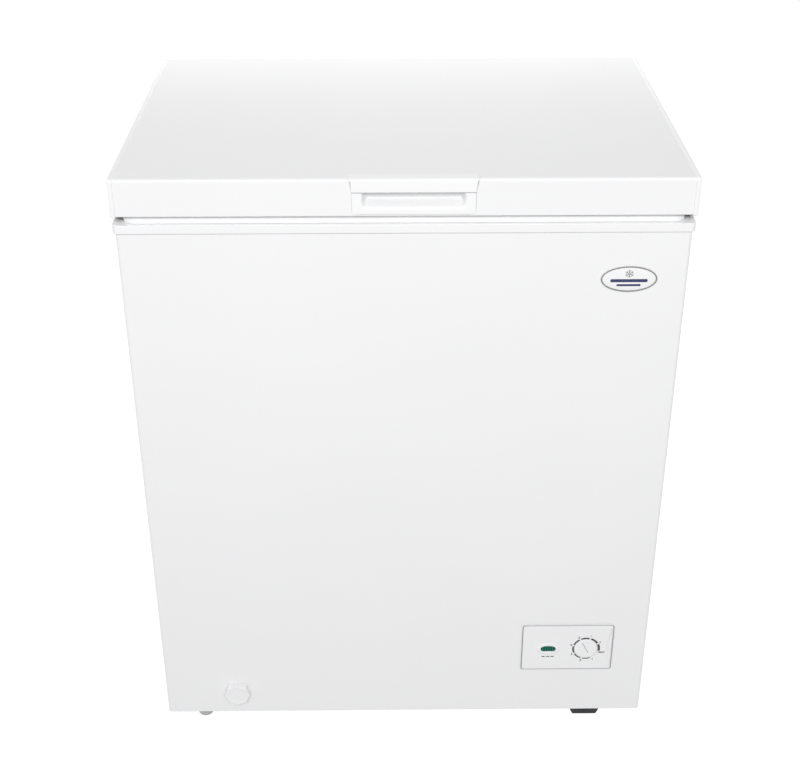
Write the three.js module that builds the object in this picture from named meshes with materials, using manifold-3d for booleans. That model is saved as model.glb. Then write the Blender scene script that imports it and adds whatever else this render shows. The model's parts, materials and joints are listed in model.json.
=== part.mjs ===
// A small chest freezer: steel cabinet, foamed lid on spring hinges, and the cooling plant in it.
// Millimetres. +X is the freezer's right as a person faces it, +Y goes to its back and +Z is up.
// The origin is on the floor, under the middle of the freezer's outer box.
import * as THREE from "three";
import { mergeVertices } from "three/addons/utils/BufferGeometryUtils.js";
import Module from "manifold-3d";

const wasm = await Module();
wasm.setup();

// ---- Driving dimensions ----------------------------------------------------------------------
const GAP = 0.3; // between pieces that touch
const SHEET = 0.8; // painted steel sheet
const FRONT = -251; // cabinet's front face, which centres the outer box on the origin
const BODY_WIDTH = 700;
const BODY_DEPTH = 485;
const FOOT_HEIGHT = 16;
const BODY_TOP = 788.2;
const BODY_CORNER = 5; // radius of the cabinet's two front edges
const BACK = FRONT + BODY_DEPTH;
const HALF = BODY_WIDTH / 2;

const COLLAR_TOP = 799.7;
const COLLAR_WIDTH = 706;
const COLLAR_LIP = 775; // underside of the collar inside the well
const LEDGE = 783.6; // basket ledge
const WALL = 53.2; // from the cabinet's outer face to the well
const MOUTH_WIDTH = BODY_WIDTH - 2 * WALL;
const MOUTH_DEPTH = BODY_DEPTH - 2 * WALL;
const MOUTH_MIDDLE = FRONT + BODY_DEPTH / 2;
const WELL_FLOOR = 72;
const STEP_FLOOR = 264; // top of the step over the compressor
const STEP_LEFT = 91; // the step runs from here to the right wall
const WELL_CORNER = 22;
const LINER = 1.2;

const ROOM_LEFT = 141; // compressor room
const ROOM_TOP = 214;

const LID_BOTTOM = 811;
const LID_TOP = 858.5;
const LID_FRONT = FRONT - 4;
const LID_BACK = FRONT + 488;
const LID_WIDTH = 705;
const TRIM = 6.5;
const LID_BEND = 4;

const HANDLE_X = 11;
const HANDLE_WIDTH = 149;
const HANDLE_BOTTOM = 813.5;
const GRIP_BOTTOM = 842.5;
const RECESS_WIDTH = 122;
const RECESS_BOTTOM = 822.7;
const RECESS_DEPTH = 18;

const PIN_Y = BACK + 18;
const PIN_Z = 808;
const PIN_RADIUS = 3;
const HINGE_X = 230;
const CAM_REACH = 14; // from the pin down to the plunger with the lid closed
const CAM_RATE = 4.3; // plunger travel for one radian of lid, in mm
const LID_SWING = THREE.MathUtils.degToRad(80);
const PLUNGER_TOP = PIN_Z - CAM_REACH - GAP;
const PLUNGER_BOTTOM = 770;
const SPRING_BOTTOM = 692;

const PANEL = { x: 236, z: 136, width: 130, height: 80, proud: 2.4 };
const LAMP = { x: 208.5, z: 134.4, width: 21, height: 8.5 };
const DIAL = { x: 263, z: 134.4, radius: 17, proud: 3.4 };
const DRAIN = { x: -245, z: 56, radius: 19, proud: 11 };

// ---- Geometry helpers ------------------------------------------------------------------------
function solid(geometry) {
  const bare = geometry.clone();
  bare.deleteAttribute("normal");
  bare.deleteAttribute("uv");
  const merged = mergeVertices(bare, 1e-4);
  const triVerts = new Uint32Array(merged.index.array);
  const vertProperties = new Float32Array(merged.attributes.position.array);
  return new wasm.Manifold(new wasm.Mesh({ numProp: 3, vertProperties, triVerts }));
}

function geometryOf(manifold) {
  const mesh = manifold.getMesh();
  const geometry = new THREE.BufferGeometry();
  geometry.setAttribute("position", new THREE.BufferAttribute(mesh.vertProperties, 3));
  geometry.setIndex(new THREE.BufferAttribute(mesh.triVerts, 1));
  return geometry;
}

function join(...geometries) {
  return geometryOf(geometries.map(solid).reduce((a, b) => a.add(b)));
}

function cut(geometry, ...tools) {
  return geometryOf(tools.map(solid).reduce((a, b) => a.subtract(b), solid(geometry)));
}

function box(x0, x1, y0, y1, z0, z1) {
  const geometry = new THREE.BoxGeometry(x1 - x0, y1 - y0, z1 - z0);
  return geometry.translate((x0 + x1) / 2, (y0 + y1) / 2, (z0 + z1) / 2);
}

// A rectangle about (x, y) whose corners, from lower left and round to the right, have radii.
function rectangle(x, y, width, height, radii) {
  const [a, b, c, d] = Array.isArray(radii) ? radii : [radii, radii, radii, radii];
  const [left, right] = [x - width / 2, x + width / 2];
  const [low, high] = [y - height / 2, y + height / 2];
  const shape = new THREE.Shape();
  shape.moveTo(left, low + a);
  const corner = (cx, cy, r, start) => {
    if (r > 0) shape.absarc(cx, cy, r, start, start + Math.PI / 2, false);
    else shape.lineTo(cx, cy);
  };
  corner(left + a, low + a, a, Math.PI);
  corner(right - b, low + b, b, -Math.PI / 2);
  corner(right - c, high - c, c, 0);
  corner(left + d, high - d, d, Math.PI / 2);
  return shape;
}

function polygon(points) {
  return new THREE.Shape(points.map(([x, y]) => new THREE.Vector2(x, y)));
}

// Prisms of a shape: drawn in X-Y and raised, drawn in X-Z and run back, drawn in Y-Z and run right.
function prismZ(shape, low, high, curveSegments = 4) {
  const depth = high - low;
  const geometry = new THREE.ExtrudeGeometry(shape, { depth, bevelEnabled: false, curveSegments });
  return geometry.translate(0, 0, low);
}

function prismY(shape, front, back, curveSegments = 4) {
  const depth = back - front;
  const geometry = new THREE.ExtrudeGeometry(shape, { depth, bevelEnabled: false, curveSegments });
  return geometry.rotateX(Math.PI / 2).translate(0, back, 0);
}

function prismX(shape, left, right, curveSegments = 4) {
  const depth = right - left;
  const geometry = new THREE.ExtrudeGeometry(shape, { depth, bevelEnabled: false, curveSegments });
  const turn = new THREE.Matrix4().makeBasis(
    new THREE.Vector3(0, 1, 0),
    new THREE.Vector3(0, 0, 1),
    new THREE.Vector3(1, 0, 0),
  );
  return geometry.applyMatrix4(turn).translate(left, 0, 0);
}

function rodX(y, z, radius, left, right, sides = 16) {
  const geometry = new THREE.CylinderGeometry(radius, radius, right - left, sides);
  return geometry.rotateZ(Math.PI / 2).translate((left + right) / 2, y, z);
}

function rodY(x, z, radius, front, back, sides = 24) {
  const geometry = new THREE.CylinderGeometry(radius, radius, back - front, sides);
  return geometry.translate(x, (front + back) / 2, z);
}

function rodZ(x, y, radius, low, high, sides = 20) {
  const geometry = new THREE.CylinderGeometry(radius, radius, high - low, sides);
  return geometry.rotateX(Math.PI / 2).translate(x, y, (low + high) / 2);
}

// A turned piece about the vertical line through (x, y): profile of [radius, height] pairs.
function turned(x, y, profile, sides = 24) {
  const points = profile.map(([r, h]) => new THREE.Vector2(r, h));
  return new THREE.LatheGeometry(points, sides).rotateX(Math.PI / 2).translate(x, y, 0);
}

// A route through corner points, with a bend of the given reach at each corner.
class Route extends THREE.Curve {
  constructor(corners, reach, bendSteps = 3) {
    super();
    const points = corners.map((p) => new THREE.Vector3(...p));
    this.stops = [points[0]];
    for (let i = 1; i < points.length - 1; i += 1) {
      const toward = (other) => {
        const way = other.clone().sub(points[i]);
        return points[i].clone().addScaledVector(way.normalize(), reach);
      };
      const bend = new THREE.QuadraticBezierCurve3(toward(points[i - 1]), points[i], toward(points[i + 1]));
      this.stops.push(...bend.getPoints(bendSteps));
    }
    this.stops.push(points.at(-1));
    this.last = this.stops.length - 1;
  }

  getPointAt(u, target = new THREE.Vector3()) {
    const place = u * this.last;
    const i = Math.min(Math.floor(place + 1e-9), this.last - 1);
    return target.lerpVectors(this.stops[i], this.stops[i + 1], place - i);
  }

  getPoint(u, target) {
    return this.getPointAt(u, target);
  }

  getTangentAt(u, target = new THREE.Vector3()) {
    const i = Math.round(u * this.last);
    const here = this.stops[i];
    const before = this.stops[i - 1] ?? here;
    const after = this.stops[i + 1] ?? here;
    const into = here.clone().sub(before).normalize();
    const out = after.clone().sub(here).normalize();
    return target.addVectors(into, out).normalize();
  }
}

function tube(route, radius, sides = 8, turn = 0.5) {
  const section = new THREE.Shape();
  for (let i = 0; i < sides; i += 1) {
    const angle = ((i + turn) / sides) * 2 * Math.PI;
    const [x, y] = [radius * Math.cos(angle), radius * Math.sin(angle)];
    if (i === 0) section.moveTo(x, y);
    else section.lineTo(x, y);
  }
  return new THREE.ExtrudeGeometry(section, { steps: route.last, extrudePath: route, bevelEnabled: false });
}

// ---- The group, and one named mesh for each piece --------------------------------------------
const freezer = new THREE.Group();

const LOOKS = {
  paint: { color: 0xf3f4f6, roughness: 0.22, metalness: 0.1 },
  plastic: { color: 0xf1f2f4, roughness: 0.4, metalness: 0 },
  liner: { color: 0xe6e8ea, roughness: 0.35, metalness: 0.1 },
  foam: { color: 0xe9dca6, roughness: 0.95, metalness: 0 },
  zinc: { color: 0xb4b8bc, roughness: 0.4, metalness: 0.9 },
  steel: { color: 0x9a9da1, roughness: 0.3, metalness: 1 },
  copper: { color: 0xb87333, roughness: 0.3, metalness: 1 },
  rubber: { color: 0x26282b, roughness: 0.8, metalness: 0 },
  gasket: { color: 0xdedfe0, roughness: 0.7, metalness: 0 },
  black: { color: 0x17181a, roughness: 0.4, metalness: 0.2 },
  grey: { color: 0x9b9d9f, roughness: 0.5, metalness: 0 },
  lamp: { color: 0x0f8a5a, roughness: 0.15, metalness: 0 },
};

function add(name, geometry, look) {
  const mesh = new THREE.Mesh(geometry, new THREE.MeshStandardMaterial(LOOKS[look]));
  mesh.name = name;
  freezer.add(mesh);
}

// ---- Cabinet ---------------------------------------------------------------------------------
const panelHole = prismY(
  rectangle(PANEL.x, PANEL.z, PANEL.width - 10, PANEL.height - 10, 0),
  FRONT - 5,
  FRONT + 5,
);
const VENT = { y: 90, z: 118, width: 150, height: 120 };

function cabinetShell() {
  const outer = rectangle(0, MOUTH_MIDDLE, BODY_WIDTH, BODY_DEPTH, [BODY_CORNER, BODY_CORNER, 0, 0]);
  const bend = BODY_CORNER - SHEET;
  const inner = rectangle(
    0,
    MOUTH_MIDDLE + SHEET / 2 + 5,
    BODY_WIDTH - 2 * SHEET,
    BODY_DEPTH - SHEET + 10,
    [bend, bend, 0, 0],
  );
  return cut(
    prismZ(outer, FOOT_HEIGHT, BODY_TOP - GAP, 6),
    prismZ(inner, FOOT_HEIGHT - 5, BODY_TOP + 5, 6),
    panelHole,
    rodY(DRAIN.x, DRAIN.z, 11.5, FRONT - 5, FRONT + 5),
    box(HALF - 5, HALF + 5, VENT.y - 70, VENT.y + 70, VENT.z - 55, VENT.z + 55),
  );
}

function backPanel() {
  const sheet = box(-HALF + 1.2, HALF - 1.2, BACK - SHEET, BACK, FOOT_HEIGHT + 1.2, BODY_TOP - GAP);
  return cut(sheet, box(ROOM_LEFT + 8, HALF - 8, BACK - 5, BACK + 5, 24, ROOM_TOP - 8));
}

const LEFT_FEET = [
  [-297, FRONT + 18.5],
  [-297, BACK - 30],
];
const RIGHT_FEET = [
  [270, FRONT + 18],
  [270, BACK - 30],
];

// A sheet across the cabinet's bottom, whose front corner follows the cabinet's rounded edge.
function floorSheet(left, right, top, radii) {
  const depth = BODY_DEPTH - 2.4;
  const outline = rectangle((left + right) / 2, MOUTH_MIDDLE, right - left, depth, radii);
  return prismZ(outline, FOOT_HEIGHT, top, 6);
}

function basePan() {
  const sheet = floorSheet(-HALF + 1.2, ROOM_LEFT - GAP, FOOT_HEIGHT + 0.9, [BODY_CORNER, 0, 0, 0]);
  return cut(sheet, ...LEFT_FEET.map(([x, y]) => rodZ(x, y, 4.5, 10, 20, 12)));
}

// The collar's section steps down from its flat top to the basket ledge and then to its inner lip.
function collar() {
  const ring = (inset, z0, z1, radius) =>
    prismZ(
      rectangle(0, MOUTH_MIDDLE, MOUTH_WIDTH + 2 * inset, MOUTH_DEPTH + 2 * inset, radius),
      z0,
      z1,
    );
  const deepOuter = ring(11, COLLAR_LIP, BODY_TOP + 1, 30);
  const corners = [BODY_CORNER + 2, BODY_CORNER + 2, 4, 4];
  const flat = prismZ(
    rectangle(0, MOUTH_MIDDLE, COLLAR_WIDTH, BODY_DEPTH + 6, corners),
    BODY_TOP,
    COLLAR_TOP,
    6,
  );
  return cut(
    join(flat, deepOuter),
    ring(0, COLLAR_LIP - 5, COLLAR_TOP + 5, WELL_CORNER),
    ring(8, LEDGE, COLLAR_TOP + 5, WELL_CORNER + 8),
  );
}

// The well's own outline, grown outwards by a wall thickness: deep on the left, shallow on the step.
function wellSolid(grow, top) {
  const upper = prismZ(
    rectangle(0, MOUTH_MIDDLE, MOUTH_WIDTH + 2 * grow, MOUTH_DEPTH + 2 * grow, WELL_CORNER + grow),
    STEP_FLOOR - grow,
    top,
    3,
  );
  const left = -MOUTH_WIDTH / 2;
  const lower = prismZ(
    rectangle(
      (left + STEP_LEFT) / 2,
      MOUTH_MIDDLE,
      STEP_LEFT - left + 2 * grow,
      MOUTH_DEPTH + 2 * grow,
      WELL_CORNER + grow,
    ),
    WELL_FLOOR - grow,
    STEP_FLOOR + 30,
    3,
  );
  return join(upper, lower);
}

const DRAIN_WELL = [DRAIN.x, FRONT + 92]; // where the drain leaves the well's floor

function innerLiner() {
  return cut(
    wellSolid(LINER, COLLAR_LIP - GAP),
    wellSolid(0, COLLAR_TOP + 5),
    rodZ(...DRAIN_WELL, 9, WELL_FLOOR - 10, WELL_FLOOR + 10),
  );
}

const COIL_RADIUS = 4;

function evaporatorRoute() {
  const out = LINER + COIL_RADIUS + 0.9;
  const [x, y] = [MOUTH_WIDTH / 2 + out, MOUTH_DEPTH / 2 + out];
  const corners = [];
  const turns = 4;
  const pitch = 105;
  for (let i = 0; i <= turns * 4; i += 1) {
    const side = i % 4;
    const z = 300 + (i * pitch) / 4;
    const sx = side === 0 || side === 3 ? x : -x;
    const sy = side < 2 ? -y : y;
    corners.push([sx, MOUTH_MIDDLE + sy, z]);
  }
  corners[0] = [ROOM_LEFT + 60, MOUTH_MIDDLE - y, 300];
  return new Route(corners, 24, 3);
}

function condenserRoute() {
  const inset = SHEET + 3.1;
  const [x, front, back] = [HALF - inset, FRONT + inset, BACK - 40];
  const corners = [];
  for (let run = 0; run < 4; run += 1) {
    const z = 300 + run * 120;
    const across = [
      [x, back, z],
      [x, front, z],
      [-x, front, z],
      [-x, back, z],
    ];
    corners.push(...(run % 2 ? across.reverse() : across));
  }
  return new Route(corners, 14, 2);
}

function cabinetFoam() {
  const corners = [BODY_CORNER - 1, BODY_CORNER - 1, 0, 0];
  const block = prismZ(
    rectangle(0, MOUTH_MIDDLE, BODY_WIDTH - 2.4, BODY_DEPTH - 2.4, corners),
    FOOT_HEIGHT + 1.2,
    BODY_TOP - GAP,
    6,
  );
  const groove = (route, radius) => tube(route, radius, 4);
  return cut(
    block,
    wellSolid(LINER + GAP, COLLAR_TOP),
    box(ROOM_LEFT, HALF + 5, FRONT - 5, BACK + 5, 0, ROOM_TOP),
    prismZ(rectangle(0, MOUTH_MIDDLE, MOUTH_WIDTH + 22.6, MOUTH_DEPTH + 22.6, 30), COLLAR_LIP - GAP, 800),
    groove(evaporatorRoute(), 6.8),
    groove(condenserRoute(), 4.6),
    rodZ(...DRAIN_WELL, 10.2, 45, WELL_FLOOR + 5),
    rodY(DRAIN.x, DRAIN.z, 12.2, FRONT - 5, FRONT + 46),
    rodY(DRAIN.x, DRAIN.z, 8.6, FRONT + 40, DRAIN_WELL[1]),
    ...LEFT_FEET.map(([x, y]) => rodZ(x, y, 6, 10, 46, 12)),
  );
}

function ventGrille() {
  const frame = prismX(
    rectangle(VENT.y, VENT.z, VENT.width, VENT.height, 6),
    HALF + GAP,
    HALF + 2.6,
  );
  const slots = [];
  for (let i = 0; i < 9; i += 1) {
    const z = VENT.z - 44 + i * 11;
    slots.push(box(HALF - 5, HALF + 5, VENT.y - 64, VENT.y - 4, z - 2.5, z + 2.5));
    slots.push(box(HALF - 5, HALF + 5, VENT.y + 4, VENT.y + 64, z - 2.5, z + 2.5));
  }
  return cut(frame, ...slots);
}

const GLAND = [170, 60]; // on the rear cover

function rearCover() {
  const plate = box(ROOM_LEFT + 1, HALF - 2, BACK + GAP, BACK + 1.2, 20, ROOM_TOP);
  const slots = [];
  for (let i = 0; i < 8; i += 1) {
    const z = 62 + i * 16;
    slots.push(box(200, 320, BACK - 5, BACK + 5, z - 2.5, z + 2.5));
  }
  return cut(plate, ...slots, rodY(...GLAND, 8, BACK - 5, BACK + 5, 16));
}

function cordGland() {
  const [x, z] = GLAND;
  const flange = rodY(x, z, 11, BACK + 1.5, BACK + 4.5, 16);
  const neck = rodY(x, z, 7.4, BACK - 8, BACK + 8, 16);
  return cut(join(flange, neck), rodY(x, z, 3.6, BACK - 20, BACK + 20, 12));
}

function badgePlate() {
  const face = new THREE.Shape();
  face.absellipse(277, FOOT_HEIGHT + 709, 35.5, 18, 0, 2 * Math.PI, false, 0);
  return prismY(face, FRONT - 1.5, FRONT - GAP, 8);
}

// ---- Control panel ---------------------------------------------------------------------------
function controlPanel() {
  const front = FRONT - PANEL.proud;
  const face = prismY(
    rectangle(PANEL.x, PANEL.z, PANEL.width, PANEL.height, 3),
    front,
    FRONT - GAP,
  );
  const housing = prismY(
    rectangle(PANEL.x, PANEL.z, PANEL.width - 12, PANEL.height - 12, 2),
    FRONT - 1,
    FRONT + 24,
  );
  const hollow = prismY(
    rectangle(PANEL.x, PANEL.z, PANEL.width - 16, PANEL.height - 16, 1),
    front + 2,
    FRONT + 30,
  );
  return cut(
    join(face, housing),
    hollow,
    prismY(rectangle(LAMP.x, LAMP.z, LAMP.width + 1, LAMP.height + 1, 4.6), front - 5, FRONT + 5),
    rodY(DIAL.x, DIAL.z, DIAL.radius + 0.6, front - 5, FRONT + 5, 32),
  );
}

function indicatorLens() {
  const pill = (grow, front, back, radius) =>
    prismY(rectangle(LAMP.x, LAMP.z, LAMP.width + grow, LAMP.height + grow, radius), front, back);
  const rim = pill(4, FRONT - 0.1, FRONT + 2, 6);
  return join(pill(0, FRONT - PANEL.proud - 0.8, FRONT + 1, 4.1), rim);
}

function indicatorLamp() {
  const holder = box(LAMP.x - 9, LAMP.x + 9, FRONT + 2.3, FRONT + 20, LAMP.z - 6, LAMP.z + 6);
  const tab = (x) => box(x - 1.5, x + 1.5, FRONT + 19, FRONT + 27, LAMP.z - 0.5, LAMP.z + 0.5);
  return join(holder, tab(LAMP.x - 5), tab(LAMP.x + 5));
}

function thermostatBody() {
  const can = box(DIAL.x - 18, DIAL.x + 18, FRONT + 7, FRONT + 44, DIAL.z - 15, DIAL.z + 15);
  const collarRing = rodY(DIAL.x, DIAL.z, 8, FRONT + 4, FRONT + 8, 16);
  const shaft = rodY(DIAL.x, DIAL.z, 3, FRONT - 1, FRONT + 8, 12);
  return join(can, collarRing, shaft);
}

function thermostatDial() {
  const front = FRONT - DIAL.proud;
  const disc = rodY(DIAL.x, DIAL.z, DIAL.radius, front, FRONT + 2, 32);
  const slot = box(-13, 3, -1, 1, -0.6, 0.6)
    .rotateY(THREE.MathUtils.degToRad(62))
    .translate(DIAL.x, front, DIAL.z);
  return cut(disc, rodY(DIAL.x, DIAL.z, 3.3, FRONT - 1.5, FRONT + 5, 12), slot);
}

// ---- Drain -----------------------------------------------------------------------------------
// A tube through the front wall, with a cup at its back end that rises to the well's floor.
function drainSleeve() {
  const [x, y] = DRAIN_WELL;
  const along = rodY(DRAIN.x, DRAIN.z, 11.2, FRONT + 1.2, FRONT + 45);
  const back = rodY(DRAIN.x, DRAIN.z, 8.2, FRONT + 44, y, 16);
  const cup = rodZ(x, y, 9.6, 46, WELL_FLOOR - LINER - GAP);
  const bore = rodY(DRAIN.x, DRAIN.z, 9.4, FRONT - 5, FRONT + 42);
  const narrow = rodY(DRAIN.x, DRAIN.z, 6, FRONT + 40, y, 16);
  const cupBore = rodZ(x, y, 7.8, 49, WELL_FLOOR + 5);
  return cut(join(along, back, cup), bore, narrow, cupBore);
}

function drainSpout() {
  const pipe = rodY(DRAIN.x, DRAIN.z, 9, FRONT - 1.2, FRONT + 40);
  const bore = rodY(DRAIN.x, DRAIN.z, 7, FRONT - 5, FRONT + 50, 16);
  const mouth = box(DRAIN.x - 5, DRAIN.x + 5, FRONT + 2, FRONT + 10, DRAIN.z - 14, DRAIN.z);
  return cut(pipe, bore, mouth);
}

// A cap whose rim is hollowed between its points by eight shallow finger scallops.
function drainKnob() {
  const rim = new THREE.Shape();
  const [points, steps, hollow] = [8, 4, 1.7];
  for (let i = 0; i < points * steps; i += 1) {
    const angle = (i / (points * steps)) * 2 * Math.PI;
    const across = (i % steps) / steps;
    const radius = DRAIN.radius - hollow * 4 * across * (1 - across);
    const [x, z] = [DRAIN.x + radius * Math.cos(angle), DRAIN.z + radius * Math.sin(angle)];
    if (i === 0) rim.moveTo(x, z);
    else rim.lineTo(x, z);
  }
  const cap = prismY(rim, FRONT - DRAIN.proud, FRONT - 1.5);
  return join(cap, rodY(DRAIN.x, DRAIN.z, 6.6, FRONT - 3, FRONT + 12, 16));
}

function drainStopper() {
  const [x, y] = DRAIN_WELL;
  return turned(x, y, [
    [0, WELL_FLOOR - 10],
    [7, WELL_FLOOR - 10],
    [7.4, WELL_FLOOR + GAP],
    [13, WELL_FLOOR + GAP],
    [13, WELL_FLOOR + 3],
    [4, WELL_FLOOR + 4],
    [4, WELL_FLOOR + 8],
    [6, WELL_FLOOR + 10],
    [0, WELL_FLOOR + 10],
  ]);
}

// ---- Cooling plant ---------------------------------------------------------------------------
const PUMP = { x: 243, y: BACK - 108, floor: 37 };
const GROMMETS = [
  [-62, -52],
  [62, -52],
  [62, 52],
  [-62, 52],
].map(([x, y]) => [PUMP.x + x, PUMP.y + y]);
const TRAY_TOP = FOOT_HEIGHT + 2;

function compressorTray() {
  const sheet = floorSheet(ROOM_LEFT + GAP, HALF - 1.2, TRAY_TOP, [0, BODY_CORNER, 0, 0]);
  const rib = (y) => box(ROOM_LEFT + 20, HALF - 20, y - 4, y + 4, TRAY_TOP - 0.5, TRAY_TOP + 8);
  const holes = GROMMETS.map(([x, y]) => rodZ(x, y, 4.4, 10, 30, 12));
  return cut(join(sheet, rib(PUMP.y - 90), rib(PUMP.y + 88)), ...holes);
}

function compressor() {
  const low = PUMP.floor + 4;
  const can = turned(0, 0, [
    [0, low],
    [50, low],
    [64, low + 10],
    [70, low + 34],
    [70, low + 74],
    [73, low + 75],
    [73, low + 81],
    [70, low + 82],
    [67, low + 110],
    [54, low + 132],
    [28, low + 140],
    [0, low + 141],
  ]);
  can.scale(1, 0.9, 1).translate(PUMP.x, PUMP.y, 0);
  const bar = (side) =>
    prismZ(rectangle(PUMP.x, PUMP.y + side * 52, 148, 24, 8), PUMP.floor, PUMP.floor + 3.5);
  const saddle = box(PUMP.x - 34, PUMP.x + 34, PUMP.y - 50, PUMP.y + 50, PUMP.floor, PUMP.floor + 12);
  const holes = GROMMETS.map(([x, y]) => rodZ(x, y, 7.4, PUMP.floor - 5, PUMP.floor + 10, 12));
  return cut(join(can, bar(-1), bar(1), saddle), ...holes);
}

function grommet(x, y) {
  return turned(
    x,
    y,
    [
      [4.2, TRAY_TOP + GAP],
      [13, TRAY_TOP + GAP],
      [11, PUMP.floor - GAP],
      [7, PUMP.floor - GAP],
      [7, PUMP.floor + 7],
      [4.2, PUMP.floor + 7],
      [4.2, TRAY_TOP + GAP],
    ],
    12,
  );
}

function compressorBolt(x, y) {
  const shank = rodZ(x, y, 3.4, FOOT_HEIGHT - 1.5, PUMP.floor + 11, 8);
  const head = rodZ(x, y, 6.5, FOOT_HEIGHT - 3.6, FOOT_HEIGHT - GAP, 6);
  const nut = rodZ(x, y, 6.5, PUMP.floor + 7 + GAP, PUMP.floor + 11, 6);
  return join(shank, head, nut);
}

function starterBox() {
  const x = PUMP.x - 73 - GAP;
  return prismX(rectangle(PUMP.y, PUMP.floor + 66, 56, 62, 6), x - 26, x - 1);
}

function filterDrier() {
  const [x, y] = [160, FRONT + 190];
  return turned(
    x,
    y,
    [
      [0, 70],
      [3, 70],
      [3, 82],
      [9, 92],
      [9, 142],
      [3, 152],
      [3, 164],
      [0, 164],
    ],
    12,
  );
}

function suctionPipe() {
  const side = PUMP.y - 66 * 0.9;
  const route = new Route(
    [
      [PUMP.x + 20, side - 9, PUMP.floor + 62],
      [PUMP.x + 20, side - 40, PUMP.floor + 62],
      [PUMP.x + 20, side - 40, 180],
      [PUMP.x + 70, side - 40, 180],
      [PUMP.x + 70, side - 40, ROOM_TOP - GAP],
    ],
    12,
  );
  return tube(route, 4);
}

function dischargePipe() {
  const side = PUMP.y - 66 * 0.9;
  const route = new Route(
    [
      [PUMP.x - 22, side - 9, PUMP.floor + 62],
      [PUMP.x - 22, side - 62, PUMP.floor + 62],
      [PUMP.x - 22, side - 62, 196],
      [PUMP.x + 88, side - 62, 196],
      [PUMP.x + 88, side - 62, ROOM_TOP - GAP],
    ],
    12,
  );
  return tube(route, 2.8);
}

function capillaryTube() {
  const [x, y] = [160, FRONT + 190];
  const route = new Route(
    [
      [x, y, 164 + GAP],
      [x, y, 190],
      [x + 22, y, 190],
      [x + 22, y, ROOM_TOP - GAP],
    ],
    7,
  );
  return tube(route, 1.4, 6);
}

// ---- Feet ------------------------------------------------------------------------------------
function levellingFoot(x, y) {
  const rim = new THREE.Shape();
  const ribs = 12;
  for (let i = 0; i < ribs * 2; i += 1) {
    const angle = (i / (ribs * 2)) * 2 * Math.PI;
    const radius = i % 2 ? 12 : 11.3;
    const [px, py] = [x + radius * Math.cos(angle), y + radius * Math.sin(angle)];
    if (i === 0) rim.moveTo(px, py);
    else rim.lineTo(px, py);
  }
  const disc = prismZ(rim, 2, FOOT_HEIGHT - 3);
  return join(disc, rodZ(x, y, 10.2, 0, 3), rodZ(x, y, 4, 5, 44, 12));
}

function blackFoot(x, y) {
  const profile = polygon([
    [x - 17.5, 0],
    [x + 17.5, 0],
    [x + 21.5, FOOT_HEIGHT - GAP - 7],
    [x + 21.5, FOOT_HEIGHT - GAP],
    [x - 21.5, FOOT_HEIGHT - GAP],
    [x - 21.5, FOOT_HEIGHT - GAP - 7],
  ]);
  return prismY(profile, y - 12, y + 12);
}

// ---- Lid -------------------------------------------------------------------------------------
function lidOutline(inset) {
  const [front, back] = [LID_FRONT + inset, LID_BACK - inset];
  const [low, high] = [LID_BOTTOM + inset, LID_TOP - inset];
  return rectangle((front + back) / 2, (low + high) / 2, back - front, high - low, [
    1,
    1,
    Math.max(LID_BEND - inset, 1),
    Math.max(LID_BEND - inset, 1),
  ]);
}

const pocketLeft = HANDLE_X - RECESS_WIDTH / 2;
const pocketRight = HANDLE_X + RECESS_WIDTH / 2;

// The block behind the handle's face, grown by a clearance.
function handlePocket(grow) {
  return box(
    pocketLeft - 2 - grow,
    pocketRight + 2 + grow,
    LID_FRONT - 3,
    LID_FRONT + RECESS_DEPTH + 2 + grow,
    RECESS_BOTTOM - 2 - grow,
    LID_TOP - 3.5 + grow,
  );
}

function lidSkin() {
  const half = LID_WIDTH / 2 - TRIM;
  return cut(
    prismX(lidOutline(0), -half, half),
    prismX(lidOutline(SHEET), -half - 5, half + 5),
    box(-half - 5, half + 5, LID_FRONT + 12, LID_BACK - 12, LID_BOTTOM - 5, LID_BOTTOM + 5),
    handlePocket(GAP),
  );
}

function lidFoam() {
  const half = LID_WIDTH / 2 - TRIM;
  const slab = cut(
    prismX(lidOutline(SHEET + GAP), -half + GAP, half - GAP),
    handlePocket(GAP),
    box(-half, half, LID_FRONT + 12, LID_BACK - 12, LID_BOTTOM - 5, LID_BOTTOM + 4.5),
  );
  return join(slab, plugBlock(25 + GAP, LID_BOTTOM - 13 + GAP, LID_BOTTOM + 6));
}

// A block inside the well's mouth, smaller than it by an inset all round.
function plugBlock(inset, low, high) {
  const [width, depth] = [MOUTH_WIDTH - 2 * inset, MOUTH_DEPTH - 2 * inset];
  return prismZ(rectangle(0, MOUTH_MIDDLE, width, depth, WELL_CORNER), low, high);
}

function lidTrim(side) {
  const [low, high] = [LID_BOTTOM - 1.6, LID_TOP + 0.5];
  const shape = rectangle(
    (LID_FRONT + LID_BACK) / 2 + 0.5,
    (low + high) / 2,
    LID_BACK - LID_FRONT + 3,
    high - low,
    [2, 2, 5, 5],
  );
  const inner = LID_WIDTH / 2 - TRIM + GAP;
  const outer = LID_WIDTH / 2;
  return side > 0 ? prismX(shape, inner, outer) : prismX(shape, -outer, -inner);
}

// The lid's lining: a flange that carries the gasket and a shallow plug that dips into the mouth.
function innerLidPanel() {
  const half = LID_WIDTH / 2 - TRIM - GAP;
  const [front, back] = [LID_FRONT + 12 + GAP, LID_BACK - 12 - GAP];
  const flat = box(-half, half, front, back, LID_BOTTOM, LID_BOTTOM + 4);
  const plug = plugBlock(22, LID_BOTTOM - 16, LID_BOTTOM + 1);
  return cut(join(flat, plug), plugBlock(25, LID_BOTTOM - 13, LID_BOTTOM + 10));
}

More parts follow.
